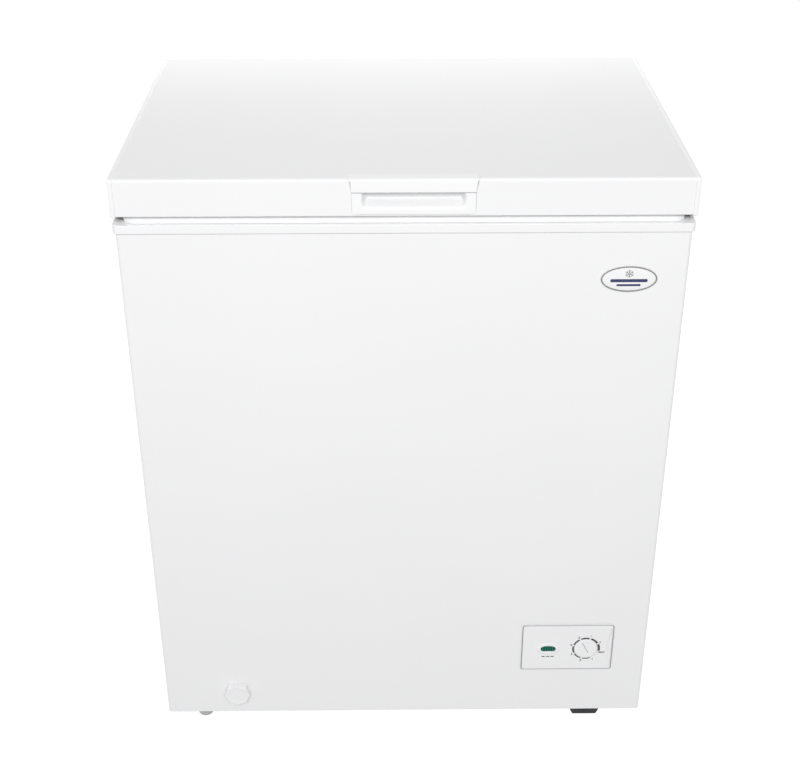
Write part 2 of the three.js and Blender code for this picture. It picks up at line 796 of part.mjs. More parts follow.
function lidGasket() {
  const outerX = LID_WIDTH - 24;
  const outerY = MOUTH_DEPTH + 2 * 52;
  const ring = (inset, low, high, radius) =>
    prismZ(
      rectangle(0, MOUTH_MIDDLE, outerX - 2 * inset, outerY - 2 * inset, radius),
      low,
      high,
    );
  return cut(
    ring(0, COLLAR_TOP + GAP, LID_BOTTOM - GAP, 14),
    ring(17, COLLAR_TOP - 5, LID_BOTTOM + 5, 8),
  );
}

function cornerBuffer(side) {
  const x = side * (LID_WIDTH / 2 - 6);
  return prismZ(
    rectangle(x, LID_FRONT + 27, 8.6, 14, 2),
    COLLAR_TOP + 2.5,
    LID_BOTTOM - 1.9,
  );
}

function lidHandle() {
  const face = LID_FRONT - GAP;
  const middle = (HANDLE_BOTTOM + LID_TOP) / 2;
  const plate = prismY(
    rectangle(HANDLE_X, middle, HANDLE_WIDTH, LID_TOP - HANDLE_BOTTOM, [6, 6, 0, 0]),
    face - 1.5,
    face,
  );
  const grip = box(
    HANDLE_X - HANDLE_WIDTH / 2,
    HANDLE_X + HANDLE_WIDTH / 2,
    face - 4,
    face,
    GRIP_BOTTOM,
    LID_TOP + GAP + 1,
  );
  const flange = box(
    HANDLE_X - HANDLE_WIDTH / 2 - 3,
    HANDLE_X + HANDLE_WIDTH / 2 + 3,
    face - 3,
    LID_FRONT + 13,
    LID_TOP + GAP,
    LID_TOP + GAP + 1,
  );
  const recess = box(
    pocketLeft,
    pocketRight,
    LID_FRONT - 20,
    LID_FRONT + RECESS_DEPTH,
    RECESS_BOTTOM,
    GRIP_BOTTOM,
  );
  const upper = box(
    pocketLeft,
    pocketRight,
    LID_FRONT + 2,
    LID_FRONT + RECESS_DEPTH,
    GRIP_BOTTOM - 5,
    LID_TOP - 5.5,
  );
  return cut(join(plate, grip, flange, handlePocket(0)), recess, upper);
}

// ---- Hinges ----------------------------------------------------------------------------------
function hingeChannel(x) {
  const side = new THREE.Shape();
  side.moveTo(BACK + GAP, SPRING_BOTTOM - 4);
  side.lineTo(PIN_Y + 10, SPRING_BOTTOM - 4);
  side.lineTo(PIN_Y + 10, PIN_Z - 14);
  side.absarc(PIN_Y, PIN_Z, 8, -0.4, Math.PI, false);
  side.lineTo(PIN_Y - 14, PIN_Z - 10);
  side.lineTo(PIN_Y - 14, PIN_Z - 25);
  side.lineTo(BACK + GAP, PIN_Z - 25);
  const ear = (inner, outer) => prismX(side, inner, outer, 6);
  const web = box(x - 14.5, x + 14.5, PIN_Y + 8.5, PIN_Y + 10, SPRING_BOTTOM - 4, PIN_Z - 24);
  const seat = box(x - 14.5, x + 14.5, BACK + 1, PIN_Y + 10, SPRING_BOTTOM - 4, SPRING_BOTTOM - 2);
  const foot = box(x - 27, x + 27, BACK + GAP, BACK + 1.8, SPRING_BOTTOM - 4, PIN_Z - 25);
  return cut(
    join(ear(x - 14.5, x - 13), ear(x + 13, x + 14.5), web, seat, foot),
    rodX(PIN_Y, PIN_Z, PIN_RADIUS + 0.15, x - 20, x + 20),
  );
}

function hingePin(x) {
  const shank = rodX(PIN_Y, PIN_Z, PIN_RADIUS, x - 16, x + 16);
  const head = rodX(PIN_Y, PIN_Z, 5, x + 14.5 + GAP, x + 17);
  return join(shank, head);
}

// The cam is the involute that lowers and raises a flat plunger evenly as the lid turns.
function hingeLeaf(x) {
  const cam = [];
  for (let i = 0; i <= 8; i += 1) {
    const angle = (i / 8) * LID_SWING;
    const reach = CAM_REACH - CAM_RATE * angle;
    const [s, c] = [Math.sin(angle), Math.cos(angle)];
    cam.push([PIN_Y + reach * s - CAM_RATE * c, PIN_Z - reach * c - CAM_RATE * s]);
  }
  cam.push([PIN_Y, PIN_Z]);
  const web = polygon([
    [LID_BACK + 1, LID_BOTTOM + 2],
    [PIN_Y - 3, PIN_Z - 5],
    [PIN_Y + 5.4, PIN_Z + 3],
    [PIN_Y - 2, PIN_Z + 6],
    [LID_BACK + 1, PIN_Z + 26],
  ]);
  const plate = box(x - 30, x + 30, LID_BACK + GAP, LID_BACK + 2, LID_BOTTOM + 2, LID_TOP - 10);
  return cut(
    join(
      plate,
      prismX(web, x - 7, x + 7),
      prismX(polygon(cam), x - 7, x + 7),
      rodX(PIN_Y, PIN_Z, 6.5, x - 7, x + 7),
    ),
    rodX(PIN_Y, PIN_Z, PIN_RADIUS + 0.15, x - 20, x + 20),
  );
}

function hingePlunger(x) {
  return box(x - 11, x + 11, PIN_Y - 8, PIN_Y + 8, PLUNGER_BOTTOM, PLUNGER_TOP);
}

function hingeSpring(x) {
  const [low, high] = [SPRING_BOTTOM - 2 + GAP, PLUNGER_BOTTOM - GAP];
  return turned(
    x,
    PIN_Y,
    [
      [4.6, low],
      [7.4, low],
      [7.4, high],
      [4.6, high],
      [4.6, low],
    ],
    16,
  );
}

// ---- Basket ----------------------------------------------------------------------------------
const BASKET = { left: 100, right: 286, drop: 170, wire: 1.8, rod: 2.6, sides: 4 };

// Cross wires and the long wires under them turn up at the sides to the rim rod, which the hooks
// carry on the ledge.
function wireBasket() {
  const rimZ = LEDGE + GAP + BASKET.rod;
  const floor = rimZ - BASKET.drop;
  const [front, back] = [MOUTH_MIDDLE - MOUTH_DEPTH / 2 + 10, MOUTH_MIDDLE + MOUTH_DEPTH / 2 - 10];
  const { left, right, wire, rod, sides } = BASKET;
  const wires = [];
  const across = 9;
  for (let i = 0; i < across; i += 1) {
    const y = front + 14 + ((back - front - 28) * i) / (across - 1);
    const corners = [
      [left, y, rimZ],
      [left + 12, y, floor],
      [right - 12, y, floor],
      [right, y, rimZ],
    ];
    wires.push(tube(new Route(corners, 14, 2), wire, sides, 0.37));
  }
  const along = 5;
  const under = floor - 1.5 * wire;
  for (let i = 0; i < along; i += 1) {
    const x = left + 24 + ((right - left - 48) * i) / (along - 1);
    const corners = [
      [x, front, rimZ],
      [x, front + 12, under],
      [x, back - 12, under],
      [x, back, rimZ],
    ];
    wires.push(tube(new Route(corners, 15, 2), wire, sides, 0.23));
  }
  const hoop = (z, inset, radius) => {
    const [x0, x1, y0, y1] = [left + inset, right - inset, front + inset, back - inset];
    const start = (x0 + x1) / 2 + 11;
    const corners = [
      [start, y0, z],
      [x1, y0, z],
      [x1, y1, z],
      [x0, y1, z],
      [x0, y0, z],
      [start + 4, y0, z],
    ];
    return tube(new Route(corners, 16, 2), radius, sides, 0.42);
  };
  wires.push(hoop(rimZ, 0, rod));
  wires.push(hoop(rimZ - 58, 4.6, wire));
  wires.push(hoop(rimZ - 116, 8.7, wire));
  for (const x of [left + 31, right - 33]) {
    wires.push(rodY(x, rimZ, rod, front - 16, front + 0.7, 6));
    wires.push(rodY(x, rimZ, rod, back - 0.7, back + 16, 6));
  }
  return join(...wires);
}

// ---- Assembly --------------------------------------------------------------------------------
add("cabinet_shell", cabinetShell(), "paint");
add("back_panel", backPanel(), "zinc");
add("base_pan", basePan(), "zinc");
add("collar", collar(), "plastic");
add("inner_liner", innerLiner(), "liner");
add("cabinet_foam", cabinetFoam(), "foam");
add("evaporator_coil", tube(evaporatorRoute(), COIL_RADIUS, 8), "copper");
add("condenser_coil", tube(condenserRoute(), 2.4, 6), "copper");
add("vent_grille", ventGrille(), "plastic");
add("rear_cover", rearCover(), "zinc");
add("cord_gland", cordGland(), "black");
add("badge_plate", badgePlate(), "plastic");

add("control_panel", controlPanel(), "plastic");
add("indicator_lens", indicatorLens(), "lamp");
add("indicator_lamp", indicatorLamp(), "black");
add("thermostat_body", thermostatBody(), "steel");
add("thermostat_dial", thermostatDial(), "plastic");

add("drain_sleeve", drainSleeve(), "grey");
add("drain_spout", drainSpout(), "plastic");
add("drain_knob", drainKnob(), "plastic");
add("drain_stopper", drainStopper(), "rubber");

add("compressor_tray", compressorTray(), "zinc");
add("compressor", compressor(), "black");
GROMMETS.forEach(([x, y], i) => {
  add(`grommet_${i + 1}`, grommet(x, y), "rubber");
  add(`compressor_bolt_${i + 1}`, compressorBolt(x, y), "steel");
});
add("starter_box", starterBox(), "black");
add("filter_drier", filterDrier(), "copper");
add("suction_pipe", suctionPipe(), "copper");
add("discharge_pipe", dischargePipe(), "copper");
add("capillary_tube", capillaryTube(), "copper");

add("levelling_foot_front", levellingFoot(...LEFT_FEET[0]), "grey");
add("levelling_foot_rear", levellingFoot(...LEFT_FEET[1]), "grey");
add("black_foot_front", blackFoot(...RIGHT_FEET[0]), "rubber");
add("black_foot_rear", blackFoot(...RIGHT_FEET[1]), "rubber");

add("lid_skin", lidSkin(), "paint");
add("lid_foam", lidFoam(), "foam");
add("lid_trim_left", lidTrim(-1), "plastic");
add("lid_trim_right", lidTrim(1), "plastic");
add("inner_lid_panel", innerLidPanel(), "liner");
add("lid_gasket", lidGasket(), "gasket");
add("corner_buffer_left", cornerBuffer(-1), "rubber");
add("corner_buffer_right", cornerBuffer(1), "rubber");
add("lid_handle", lidHandle(), "plastic");

for (const [side, x] of [
  ["left", -HINGE_X],
  ["right", HINGE_X],
]) {
  add(`hinge_channel_${side}`, hingeChannel(x), "zinc");
  add(`hinge_pin_${side}`, hingePin(x), "steel");
  add(`hinge_leaf_${side}`, hingeLeaf(x), "zinc");
  add(`hinge_plunger_${side}`, hingePlunger(x), "grey");
  add(`hinge_spring_${side}`, hingeSpring(x), "steel");
}

add("basket", wireBasket(), "plastic");

export default freezer;
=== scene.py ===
"""A small white chest freezer in a pale studio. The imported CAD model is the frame: its nodes keep
their places and get finishes and softened edges, and finer pieces stand for some of them."""

import json
import math

import bmesh
import bpy
from mathutils import Matrix, Vector

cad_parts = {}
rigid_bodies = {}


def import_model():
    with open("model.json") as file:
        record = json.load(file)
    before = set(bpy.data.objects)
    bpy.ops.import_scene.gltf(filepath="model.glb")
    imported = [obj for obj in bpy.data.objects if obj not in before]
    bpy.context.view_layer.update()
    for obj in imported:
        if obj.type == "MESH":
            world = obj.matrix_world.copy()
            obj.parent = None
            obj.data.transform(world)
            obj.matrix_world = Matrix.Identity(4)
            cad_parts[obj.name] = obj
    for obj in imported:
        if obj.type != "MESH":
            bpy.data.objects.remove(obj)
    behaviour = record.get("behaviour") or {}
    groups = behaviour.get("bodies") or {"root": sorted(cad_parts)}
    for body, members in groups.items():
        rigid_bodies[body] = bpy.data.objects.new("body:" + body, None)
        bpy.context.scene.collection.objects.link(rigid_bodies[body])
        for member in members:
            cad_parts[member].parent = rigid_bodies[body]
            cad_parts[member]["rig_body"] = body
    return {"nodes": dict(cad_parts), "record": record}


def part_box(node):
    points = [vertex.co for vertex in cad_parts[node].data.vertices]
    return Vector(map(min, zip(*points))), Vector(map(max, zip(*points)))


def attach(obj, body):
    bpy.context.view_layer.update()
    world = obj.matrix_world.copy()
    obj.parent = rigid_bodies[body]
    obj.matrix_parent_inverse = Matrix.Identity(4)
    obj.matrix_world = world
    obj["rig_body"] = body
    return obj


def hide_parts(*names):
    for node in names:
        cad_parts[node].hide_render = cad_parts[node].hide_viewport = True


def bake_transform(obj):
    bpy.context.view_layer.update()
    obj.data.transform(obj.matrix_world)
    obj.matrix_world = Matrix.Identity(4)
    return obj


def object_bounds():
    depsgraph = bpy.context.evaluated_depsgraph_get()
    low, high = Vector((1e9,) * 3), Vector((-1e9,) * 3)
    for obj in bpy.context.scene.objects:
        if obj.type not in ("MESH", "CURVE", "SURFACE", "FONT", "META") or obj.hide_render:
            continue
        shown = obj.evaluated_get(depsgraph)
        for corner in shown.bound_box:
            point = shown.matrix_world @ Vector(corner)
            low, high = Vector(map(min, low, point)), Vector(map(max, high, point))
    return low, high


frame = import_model()
CAD_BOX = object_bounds()

MM = 0.001
SHELL_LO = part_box("cabinet_shell")[0]
LID_LO, LID_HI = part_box("lid_skin")
FRONT = SHELL_LO.y
BODY_BOTTOM = SHELL_LO.z

# The camera stands in front of the cabinet, above it, and looks down by the tilt.
CAMERA_SIDE, CAMERA_AWAY, CAMERA_UP = -0.0203, 1.5189, 1.4351
CAMERA_TILT, CAMERA_ROLL, CAMERA_TURN = 29.70, 0.03, -0.57
SKY_LIGHT, BACKDROP = 0.54, 1.0
FLOOR_HALF = 14


# ---- Stage -----------------------------------------------------------------------------------
def make_camera():
    data = bpy.data.cameras.new("camera")
    data.sensor_width = 36
    data.lens = 61.3
    camera = bpy.data.objects.new("camera", data)
    bpy.context.scene.collection.objects.link(camera)
    camera.location = (CAMERA_SIDE, FRONT - CAMERA_AWAY, BODY_BOTTOM + CAMERA_UP)
    camera.rotation_euler = [math.radians(a) for a in (90 - CAMERA_TILT, CAMERA_ROLL, CAMERA_TURN)]
    bpy.context.scene.camera = camera


def area_light(name, place, aim, size, power, reflected=True):
    data = bpy.data.lights.new(name, "AREA")
    data.shape = "RECTANGLE"
    data.size, data.size_y = size
    data.energy = power
    light = bpy.data.objects.new(name, data)
    light.location = place
    light.rotation_euler = (Vector(aim) - Vector(place)).to_track_quat("-Z", "Y").to_euler()
    light.visible_camera = False
    light.visible_glossy = reflected
    bpy.context.scene.collection.objects.link(light)


def make_studio():
    """An even sky that looks white behind the freezer, a key from above the front, and two fills."""
    world = bpy.data.worlds.new("studio")
    bpy.context.scene.world = world
    world.use_nodes = True
    tree = world.node_tree
    sky = tree.nodes["Background"]
    sky.inputs["Color"].default_value = (0.99, 0.99, 1, 1)
    rays = tree.nodes.new("ShaderNodeLightPath")
    level = tree.nodes.new("ShaderNodeMapRange")
    level.inputs["To Min"].default_value = SKY_LIGHT
    level.inputs["To Max"].default_value = BACKDROP
    tree.links.new(rays.outputs["Is Camera Ray"], level.inputs["Value"])
    tree.links.new(level.outputs["Result"], sky.inputs["Strength"])
    area_light("softbox_front", (-0.1, -2.9, 2.55), (0, -0.25, 0.6), (1.8, 0.9), 65)
    area_light("softbox_back", (0, 0.62, 1.2), (0, 0.1, 0.86), (1.6, 0.2), 4.6, reflected=False)
    area_light("softbox_left", (-3.4, -0.8, 1.9), (0, 0, 0.5), (1.8, 2.4), 4)
    bpy.context.scene.view_settings.view_transform = "Standard"


def make_floor():
    mesh = bpy.data.meshes.new("floor")
    corners = [(x * FLOOR_HALF, y * FLOOR_HALF, 0) for x, y in ((-1, -1), (1, -1), (1, 1), (-1, 1))]
    mesh.from_pydata(corners, [], [(0, 1, 2, 3)])
    floor = bpy.data.objects.new("floor", mesh)
    bpy.context.scene.collection.objects.link(floor)
    floor.location.z = CAD_BOX[0].z
    floor.visible_diffuse = False
    mesh.materials.append(make_light_table())


# ---- Materials -------------------------------------------------------------------------------
class Tree:
    """A material's node tree with short calls to add and join nodes."""

    def __init__(self, name):
        self.material = bpy.data.materials.new(name)
        self.material.use_nodes = True
        self.nodes = self.material.node_tree.nodes
        self.links = self.material.node_tree.links
        self.shader = self.nodes["Principled BSDF"]
        self.place = self.nodes.new("ShaderNodeTexCoord").outputs["Object"]

    def add(self, kind, **values):
        node = self.nodes.new(kind)
        for key, value in values.items():
            if key in node.inputs:
                node.inputs[key].default_value = value
            else:
                setattr(node, key, value)
        return node

    def stretched(self, scale):
        mapping = self.add("ShaderNodeMapping", Scale=scale)
        self.links.new(self.place, mapping.inputs["Vector"])
        return mapping.outputs["Vector"]

    def noise(self, scale, detail=3, place=None, **values):
        node = self.add("ShaderNodeTexNoise", Scale=scale, Detail=detail, **values)
        self.links.new(place or self.place, node.inputs["Vector"])
        return node.outputs["Fac"]

    def cells(self, scale, output="Distance"):
        node = self.add("ShaderNodeTexVoronoi", Scale=scale)
        self.links.new(self.place, node.inputs["Vector"])
        return node.outputs[output]

    def span(self, source, low, high, start=0.3, end=0.7):
        node = self.nodes.new("ShaderNodeMapRange")
        settings = {"From Min": start, "From Max": end, "To Min": low, "To Max": high}
        for key, value in settings.items():
            node.inputs[key].default_value = value
        self.links.new(source, node.inputs["Value"])
        return node.outputs["Result"]

    def blend_colours(self, source, first, second):
        node = self.nodes.new("ShaderNodeMix")
        node.data_type = "RGBA"
        node.inputs["A"].default_value = (*first, 1)
        node.inputs["B"].default_value = (*second, 1)
        self.links.new(source, node.inputs["Factor"])
        return node.outputs["Result"]

    def colour(self, source):
        self.links.new(source, self.shader.inputs["Base Color"])

    def roughness(self, source):
        self.links.new(source, self.shader.inputs["Roughness"])

    def relief(self, *layers):
        """Bump from (height, strength, depth in metres) layers, one on another."""
        normal = None
        for height, strength, depth in layers:
            bump = self.add("ShaderNodeBump", Strength=strength, Distance=depth)
            self.links.new(height, bump.inputs["Height"])
            if normal:
                self.links.new(normal, bump.inputs["Normal"])
            normal = bump.outputs["Normal"]
        self.links.new(normal, self.shader.inputs["Normal"])


def darker(colour, share):
    return tuple(c * (1 - share) for c in colour)


def finish(name, colour, rough, coat=0.0, tint=0.03, bump=0.1, bump_scale=900):
    """A moulded or painted surface: slow colour drift, uneven gloss and fine relief."""
    tree = Tree(name)
    tree.shader.inputs["Coat Weight"].default_value = coat
    tree.shader.inputs["Coat Roughness"].default_value = 0.12
    drift = tree.noise(7, 4)
    tree.colour(tree.blend_colours(tree.span(drift, 0, 1), colour, darker(colour, tint)))
    tree.roughness(tree.span(tree.noise(38, 5), rough - 0.06, rough + 0.06))
    tree.relief((tree.noise(bump_scale, 2), bump, 0.0002))
    return tree.material


def make_paint():
    """Coil-coated steel: gloss with a faint orange peel."""
    tree = Tree("white_coated_steel")
    white = (0.865, 0.866, 0.87)
    tree.shader.inputs["Coat Weight"].default_value = 0.35
    tree.shader.inputs["Coat Roughness"].default_value = 0.08
    tree.colour(tree.blend_colours(tree.span(tree.noise(5, 3), 0, 1), white, darker(white, 0.012)))
    tree.roughness(tree.span(tree.noise(4, 2), 0.29, 0.34))
    peel = tree.noise(260, 1)
    swell = tree.noise(12, 2)
    tree.relief((swell, 0.04, 0.001), (peel, 0.02, 0.0002))
    return tree.material


def make_stucco():
    """Embossed aluminium sheet, as the well is lined with."""
    tree = Tree("stucco_aluminium")
    bright = (0.86, 0.865, 0.87)
    tree.shader.inputs["Metallic"].default_value = 0.15
    patches = tree.span(tree.noise(9, 4), 0, 1)
    tree.colour(tree.blend_colours(patches, bright, darker(bright, 0.08)))
    tree.roughness(tree.span(tree.noise(45, 4), 0.34, 0.48))
    pebble = tree.noise(170, 1, Distortion=0.6)
    grain = tree.noise(900, 2)
    tree.relief((tree.span(pebble, 0, 1, 0.42, 0.58), 0.45, 0.0005), (grain, 0.08, 0.0001))
    return tree.material


def make_zinc():
    """Galvanised steel with its crystal spangle."""
    tree = Tree("galvanised_steel")
    grey = (0.56, 0.58, 0.6)
    tree.shader.inputs["Metallic"].default_value = 0.85
    spangle = tree.cells(75, "Color")
    tree.colour(tree.blend_colours(tree.span(spangle, 0, 1, 0.2, 0.8), grey, darker(grey, 0.06)))
    tree.roughness(tree.span(tree.noise(60, 5), 0.36, 0.55))
    tree.relief((tree.cells(75), 0.05, 0.0001), (tree.noise(700, 2), 0.05, 0.0001))
    return tree.material


def make_brushed(name, colour, rough, along=(900, 900, 20)):
    """Metal drawn or turned one way, so its grain runs in fine lines."""
    tree = Tree(name)
    tree.shader.inputs["Metallic"].default_value = 1
    lines = tree.noise(1, 4, tree.stretched(along))
    stain = tree.noise(55, 4)
    tree.colour(tree.blend_colours(tree.span(stain, 0, 1, 0.45, 0.75), colour, darker(colour, 0.3)))
    tree.roughness(tree.span(lines, rough - 0.07, rough + 0.1))
    tree.relief((lines, 0.12, 0.0001))
    return tree.material


def make_foam():
    """Rigid foam: fine cells with a few larger ones, and a skin of uneven colour."""
    tree = Tree("rigid_foam")
    straw = (0.78, 0.67, 0.38)
    tree.colour(tree.blend_colours(tree.span(tree.noise(24, 5), 0, 1), straw, darker(straw, 0.2)))
    tree.roughness(tree.span(tree.noise(90, 3), 0.82, 0.95))
    tree.relief((tree.cells(420), 0.5, 0.0006), (tree.noise(60, 3), 0.4, 0.001))
    return tree.material


def make_rubber(name, colour, rough=0.72):
    """Rubber with a bloom that dulls it in patches, and fine mould texture."""
    tree = Tree(name)
    bloom = tuple(min(1, c * 1.5 + 0.012) for c in colour)
    tree.colour(tree.blend_colours(tree.span(tree.noise(34, 5), 0, 1, 0.4, 0.8), colour, bloom))
    tree.roughness(tree.span(tree.noise(80, 3), rough - 0.08, rough + 0.1))
    tree.relief((tree.noise(1300, 2), 0.2, 0.0001), (tree.noise(120, 3), 0.08, 0.0003))
    return tree.material


def make_lens():
    """A green lamp lens, ribbed inside; its lighter bars are painted highlights in the colour that stand
    for light caught in the ribs, over a real rib relief.
    """
    tree = Tree("green_lens")
    tree.shader.inputs["Specular IOR Level"].default_value = 0.12
    wave = tree.add("ShaderNodeTexWave", Scale=90, Distortion=1.5, bands_direction="X")
    tree.links.new(tree.place, wave.inputs["Vector"])
    # Painted highlights: the colour runs from dark green to a bright emerald across the ribs.
    ribs = tree.span(wave.outputs["Fac"], 0, 1, 0.55, 0.95)
    tree.colour(tree.blend_colours(ribs, (0.002, 0.055, 0.04), (0.008, 0.26, 0.16)))
    tree.roughness(tree.span(tree.noise(200, 2), 0.12, 0.2))
    tree.relief((wave.outputs["Fac"], 0.15, 0.0002))
    return tree.material


def make_ink(name, colour):
    """Printed ink, also used for the painted shadow lines in narrow gaps: matt, slightly uneven, and a
    little open at this size.
    """
    tree = Tree(name)
    worn = tuple(c + 0.02 for c in colour)
    tree.colour(tree.blend_colours(tree.span(tree.noise(500, 3), 0, 1), colour, worn))
    tree.roughness(tree.span(tree.noise(150, 2), 0.45, 0.6))
    tree.relief((tree.noise(1500, 2), 0.1, 0.0001))
    return tree.material


def make_light_table():
    """A white acrylic sheet lit faintly from below."""
    tree = Tree("light_table")
    white = (0.25, 0.25, 0.25)
    tree.colour(tree.blend_colours(tree.span(tree.noise(1.5, 2), 0, 1), white, darker(white, 0.01)))
    tree.roughness(tree.span(tree.noise(3, 2), 0.7, 0.8))
    tree.shader.inputs["Emission Color"].default_value = (0.99, 0.995, 1, 1)
    tree.shader.inputs["Emission Strength"].default_value = 0.92
    tree.relief((tree.noise(400, 2), 0.05, 0.0001))
    return tree.material


LOOK = {
    "paint": make_paint(),
    "white_plastic": finish(
        "moulded_white_plastic", (0.873, 0.874, 0.878), 0.38, tint=0.015, bump=0.12, bump_scale=1500
    ),
    "liner": make_stucco(),
    "foam": make_foam(),
    "zinc": make_zinc(),
    "steel": make_brushed("turned_steel", (0.55, 0.56, 0.58), 0.28),
    "copper": make_brushed("drawn_copper", (0.78, 0.42, 0.25), 0.3, (600, 600, 60)),
    "black_rubber": make_rubber("black_rubber", (0.018, 0.019, 0.022)),
    "gasket_rubber": finish(
        "pale_gasket_vinyl", (0.9, 0.902, 0.905), 0.5, tint=0.02, bump=0.08, bump_scale=900
    ),
    "black_paint": finish(
        "black_enamel", (0.012, 0.012, 0.014), 0.34, coat=0.4, tint=0.3, bump=0.3, bump_scale=260
    ),
    "black_plastic": finish(
        "black_plastic", (0.02, 0.02, 0.022), 0.5, tint=0.2, bump=0.25, bump_scale=1200
    ),
    "grey_plastic": finish(
        "grey_plastic", (0.5, 0.51, 0.52), 0.48, tint=0.06, bump=0.2, bump_scale=1100
    ),
    "lamp_lens": make_lens(),
    "basket_wire": finish(
        "dipped_white_wire", (0.84, 0.845, 0.85), 0.32, coat=0.5, bump=0.3, bump_scale=180
    ),
    "handle_plastic": finish(
        "handle_plastic", (0.885, 0.887, 0.89), 0.4, tint=0.01, bump=0.08, bump_scale=1300
    ),
}
PRINT_AND_SHADOW_INK = {
    # The first three are painted shadow, not print: grey lines that stand for the shade in narrow gaps
    # round the handle, in the dial's slot and round the control panel.
    "pale_seam": make_ink("pale_seam_shadow", (0.6, 0.6, 0.61)),
    "seam": make_ink("seam_shadow", (0.3, 0.3, 0.31)),
    "dark_seam": make_ink("panel_seam_shadow", (0.16, 0.16, 0.17)),
    "black": make_ink("black_ink", (0.02, 0.02, 0.022)),
    "grey": make_ink("grey_ink", (0.24, 0.24, 0.235)),
    "navy": make_ink("navy_ink", (0.012, 0.018, 0.1)),
}
SLOT_OF = {row["node"]: row["material_slot"] for row in frame["record"]["subparts"]}


# ---- Mesh helpers ----------------------------------------------------------------------------
def soften(obj, width, segments=2, angle=32, dissolve=True):
    """Rounds an object's edges by width metres, or keeps them sharp, and shades the rest smoothly.
    Flat faces are joined first, which a sheet with many slots doesn't stand."""
    for polygon in obj.data.polygons:
        polygon.use_smooth = True
    weld = obj.modifiers.new("weld", "WELD")
    weld.merge_threshold = 0.00002
    if dissolve:
        planar = obj.modifiers.new("planar", "DECIMATE")
        planar.decimate_type = "DISSOLVE"
        planar.angle_limit = math.radians(0.6)
    if width > 0:
        bevel = obj.modifiers.new("bevel", "BEVEL")
        bevel.width = width
        bevel.segments = segments
        bevel.limit_method = "ANGLE"
        bevel.angle_limit = math.radians(angle)
        bevel.miter_outer = "MITER_ARC"
    else:
        split = obj.modifiers.new("split", "EDGE_SPLIT")
        split.split_angle = math.radians(angle)
    normals = obj.modifiers.new("normals", "WEIGHTED_NORMAL")
    normals.weight = 60


def mesh_object(name, verts, faces):
    """An object from vertices and faces, with its faces turned outwards."""
    mesh = bpy.data.meshes.new(name)
    mesh.from_pydata([tuple(v) for v in verts], [], [tuple(f) for f in faces])
    mesh.validate()
    clean = bmesh.new()
    clean.from_mesh(mesh)
    bmesh.ops.recalc_face_normals(clean, faces=clean.faces)
    clean.to_mesh(mesh)
    clean.free()
    obj = bpy.data.objects.new(name, mesh)
    bpy.context.scene.collection.objects.link(obj)
    return obj


def new_piece(name, verts, faces, body, look, replaced=(), smooth=True):
    """A mesh object that rides on a body, with the look that it takes its finish from."""
    obj = mesh_object(name, verts, faces)
    obj.data.polygons.foreach_set("use_smooth", [smooth] * len(obj.data.polygons))
    obj.data.materials.append(LOOK.get(look) or PRINT_AND_SHADOW_INK[look])
    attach(obj, body)
    if replaced:
        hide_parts(*replaced)
    return obj


def apply_modifiers(obj):
    """The object's mesh with its modifiers made real."""
    graph = bpy.context.evaluated_depsgraph_get()
    mesh = bpy.data.meshes.new_from_object(obj.evaluated_get(graph))
    obj.modifiers.clear()
    obj.data = mesh


def carve(obj, *cutters):
    """Cuts closed meshes, given as (verts, faces), out of an object."""
    for verts, faces in cutters:
        tool = mesh_object("cutter", verts, faces)
        cut = obj.modifiers.new("cut", "BOOLEAN")
        cut.object = tool
        cut.solver = "EXACT"
        bpy.context.view_layer.update()
        apply_modifiers(obj)
        bpy.data.objects.remove(tool)


class Solid:
    """Vertices and faces gathered from several closed shapes, for one piece."""

    def __init__(self):
        self.verts = []
        self.faces = []

    def rings(self, rings, closed=False):
        """Skins equal rings of points. Open stacks are capped, and closed ones meet end to end."""
        count = len(rings[0])
        start = len(self.verts)
        for ring in rings:
            self.verts += [Vector(p) for p in ring]
        last = len(rings) if closed else len(rings) - 1
        for r in range(last):
            a, b = start + r * count, start + ((r + 1) % len(rings)) * count
            for i in range(count):
                j = (i + 1) % count
                self.faces.append((a + i, a + j, b + j, b + i))
        if not closed:
            self.faces.append(tuple(start + i for i in reversed(range(count))))
            end = start + (len(rings) - 1) * count
            self.faces.append(tuple(end + i for i in range(count)))
        return self

    def prism(self, outline, lift, low, high, bevel=0.0, steps=3):
        """An outline of 2-D points carried from low to high. lift(u, v, w) gives the 3-D point. The
        rim at the high end is rounded by bevel, which moves points towards the outline's middle."""
        middle = sum((Vector(p) for p in outline), Vector((0, 0))) / len(outline)
        levels = [(low, 0)]
        sign = 1 if high > low else -1
        for i in range(steps + 1) if bevel else ():
            angle = math.pi / 2 * i / steps
            levels.append((high - sign * bevel * (1 - math.sin(angle)), bevel * (1 - math.cos(angle))))
        if not bevel:
            levels.append((high, 0))
        rings = []
        for w, inset in levels:
            ring = []
            for p in outline:
                out = Vector(p) - middle
                q = Vector(p) - out.normalized() * inset
                ring.append(lift(q.x, q.y, w))
            rings.append(ring)
        return self.rings(rings)


def facing_front(x, z, y):
    """The place of a point of an outline that is drawn in x and z."""
    return (x, y, z)


def facing_right(y, z, x):
    """The place of a point of an outline that is drawn in y and z."""
    return (x, y, z)


def arc_points(cx, cy, radius, start, end, steps):
    """Points on an arc between two angles in degrees, both ends included."""
    span = [math.radians(start + (end - start) * i / steps) for i in range(steps + 1)]
    return [(cx + radius * math.cos(a), cy + radius * math.sin(a)) for a in span]


def rounded(cx, cy, width, height, radius, steps=6):
    """A rounded rectangle's outline, anticlockwise."""
    x, y = width / 2 - radius, height / 2 - radius
    points = []
    for sx, sy, start in ((1, -1, -90), (1, 1, 0), (-1, 1, 90), (-1, -1, 180)):
        points += arc_points(cx + sx * x, cy + sy * y, radius, start, start + 90, steps)
    return points


def disc(cx, cy, radius, steps=64):
    return arc_points(cx, cy, radius, 0, 360 - 360 / steps, steps - 1)


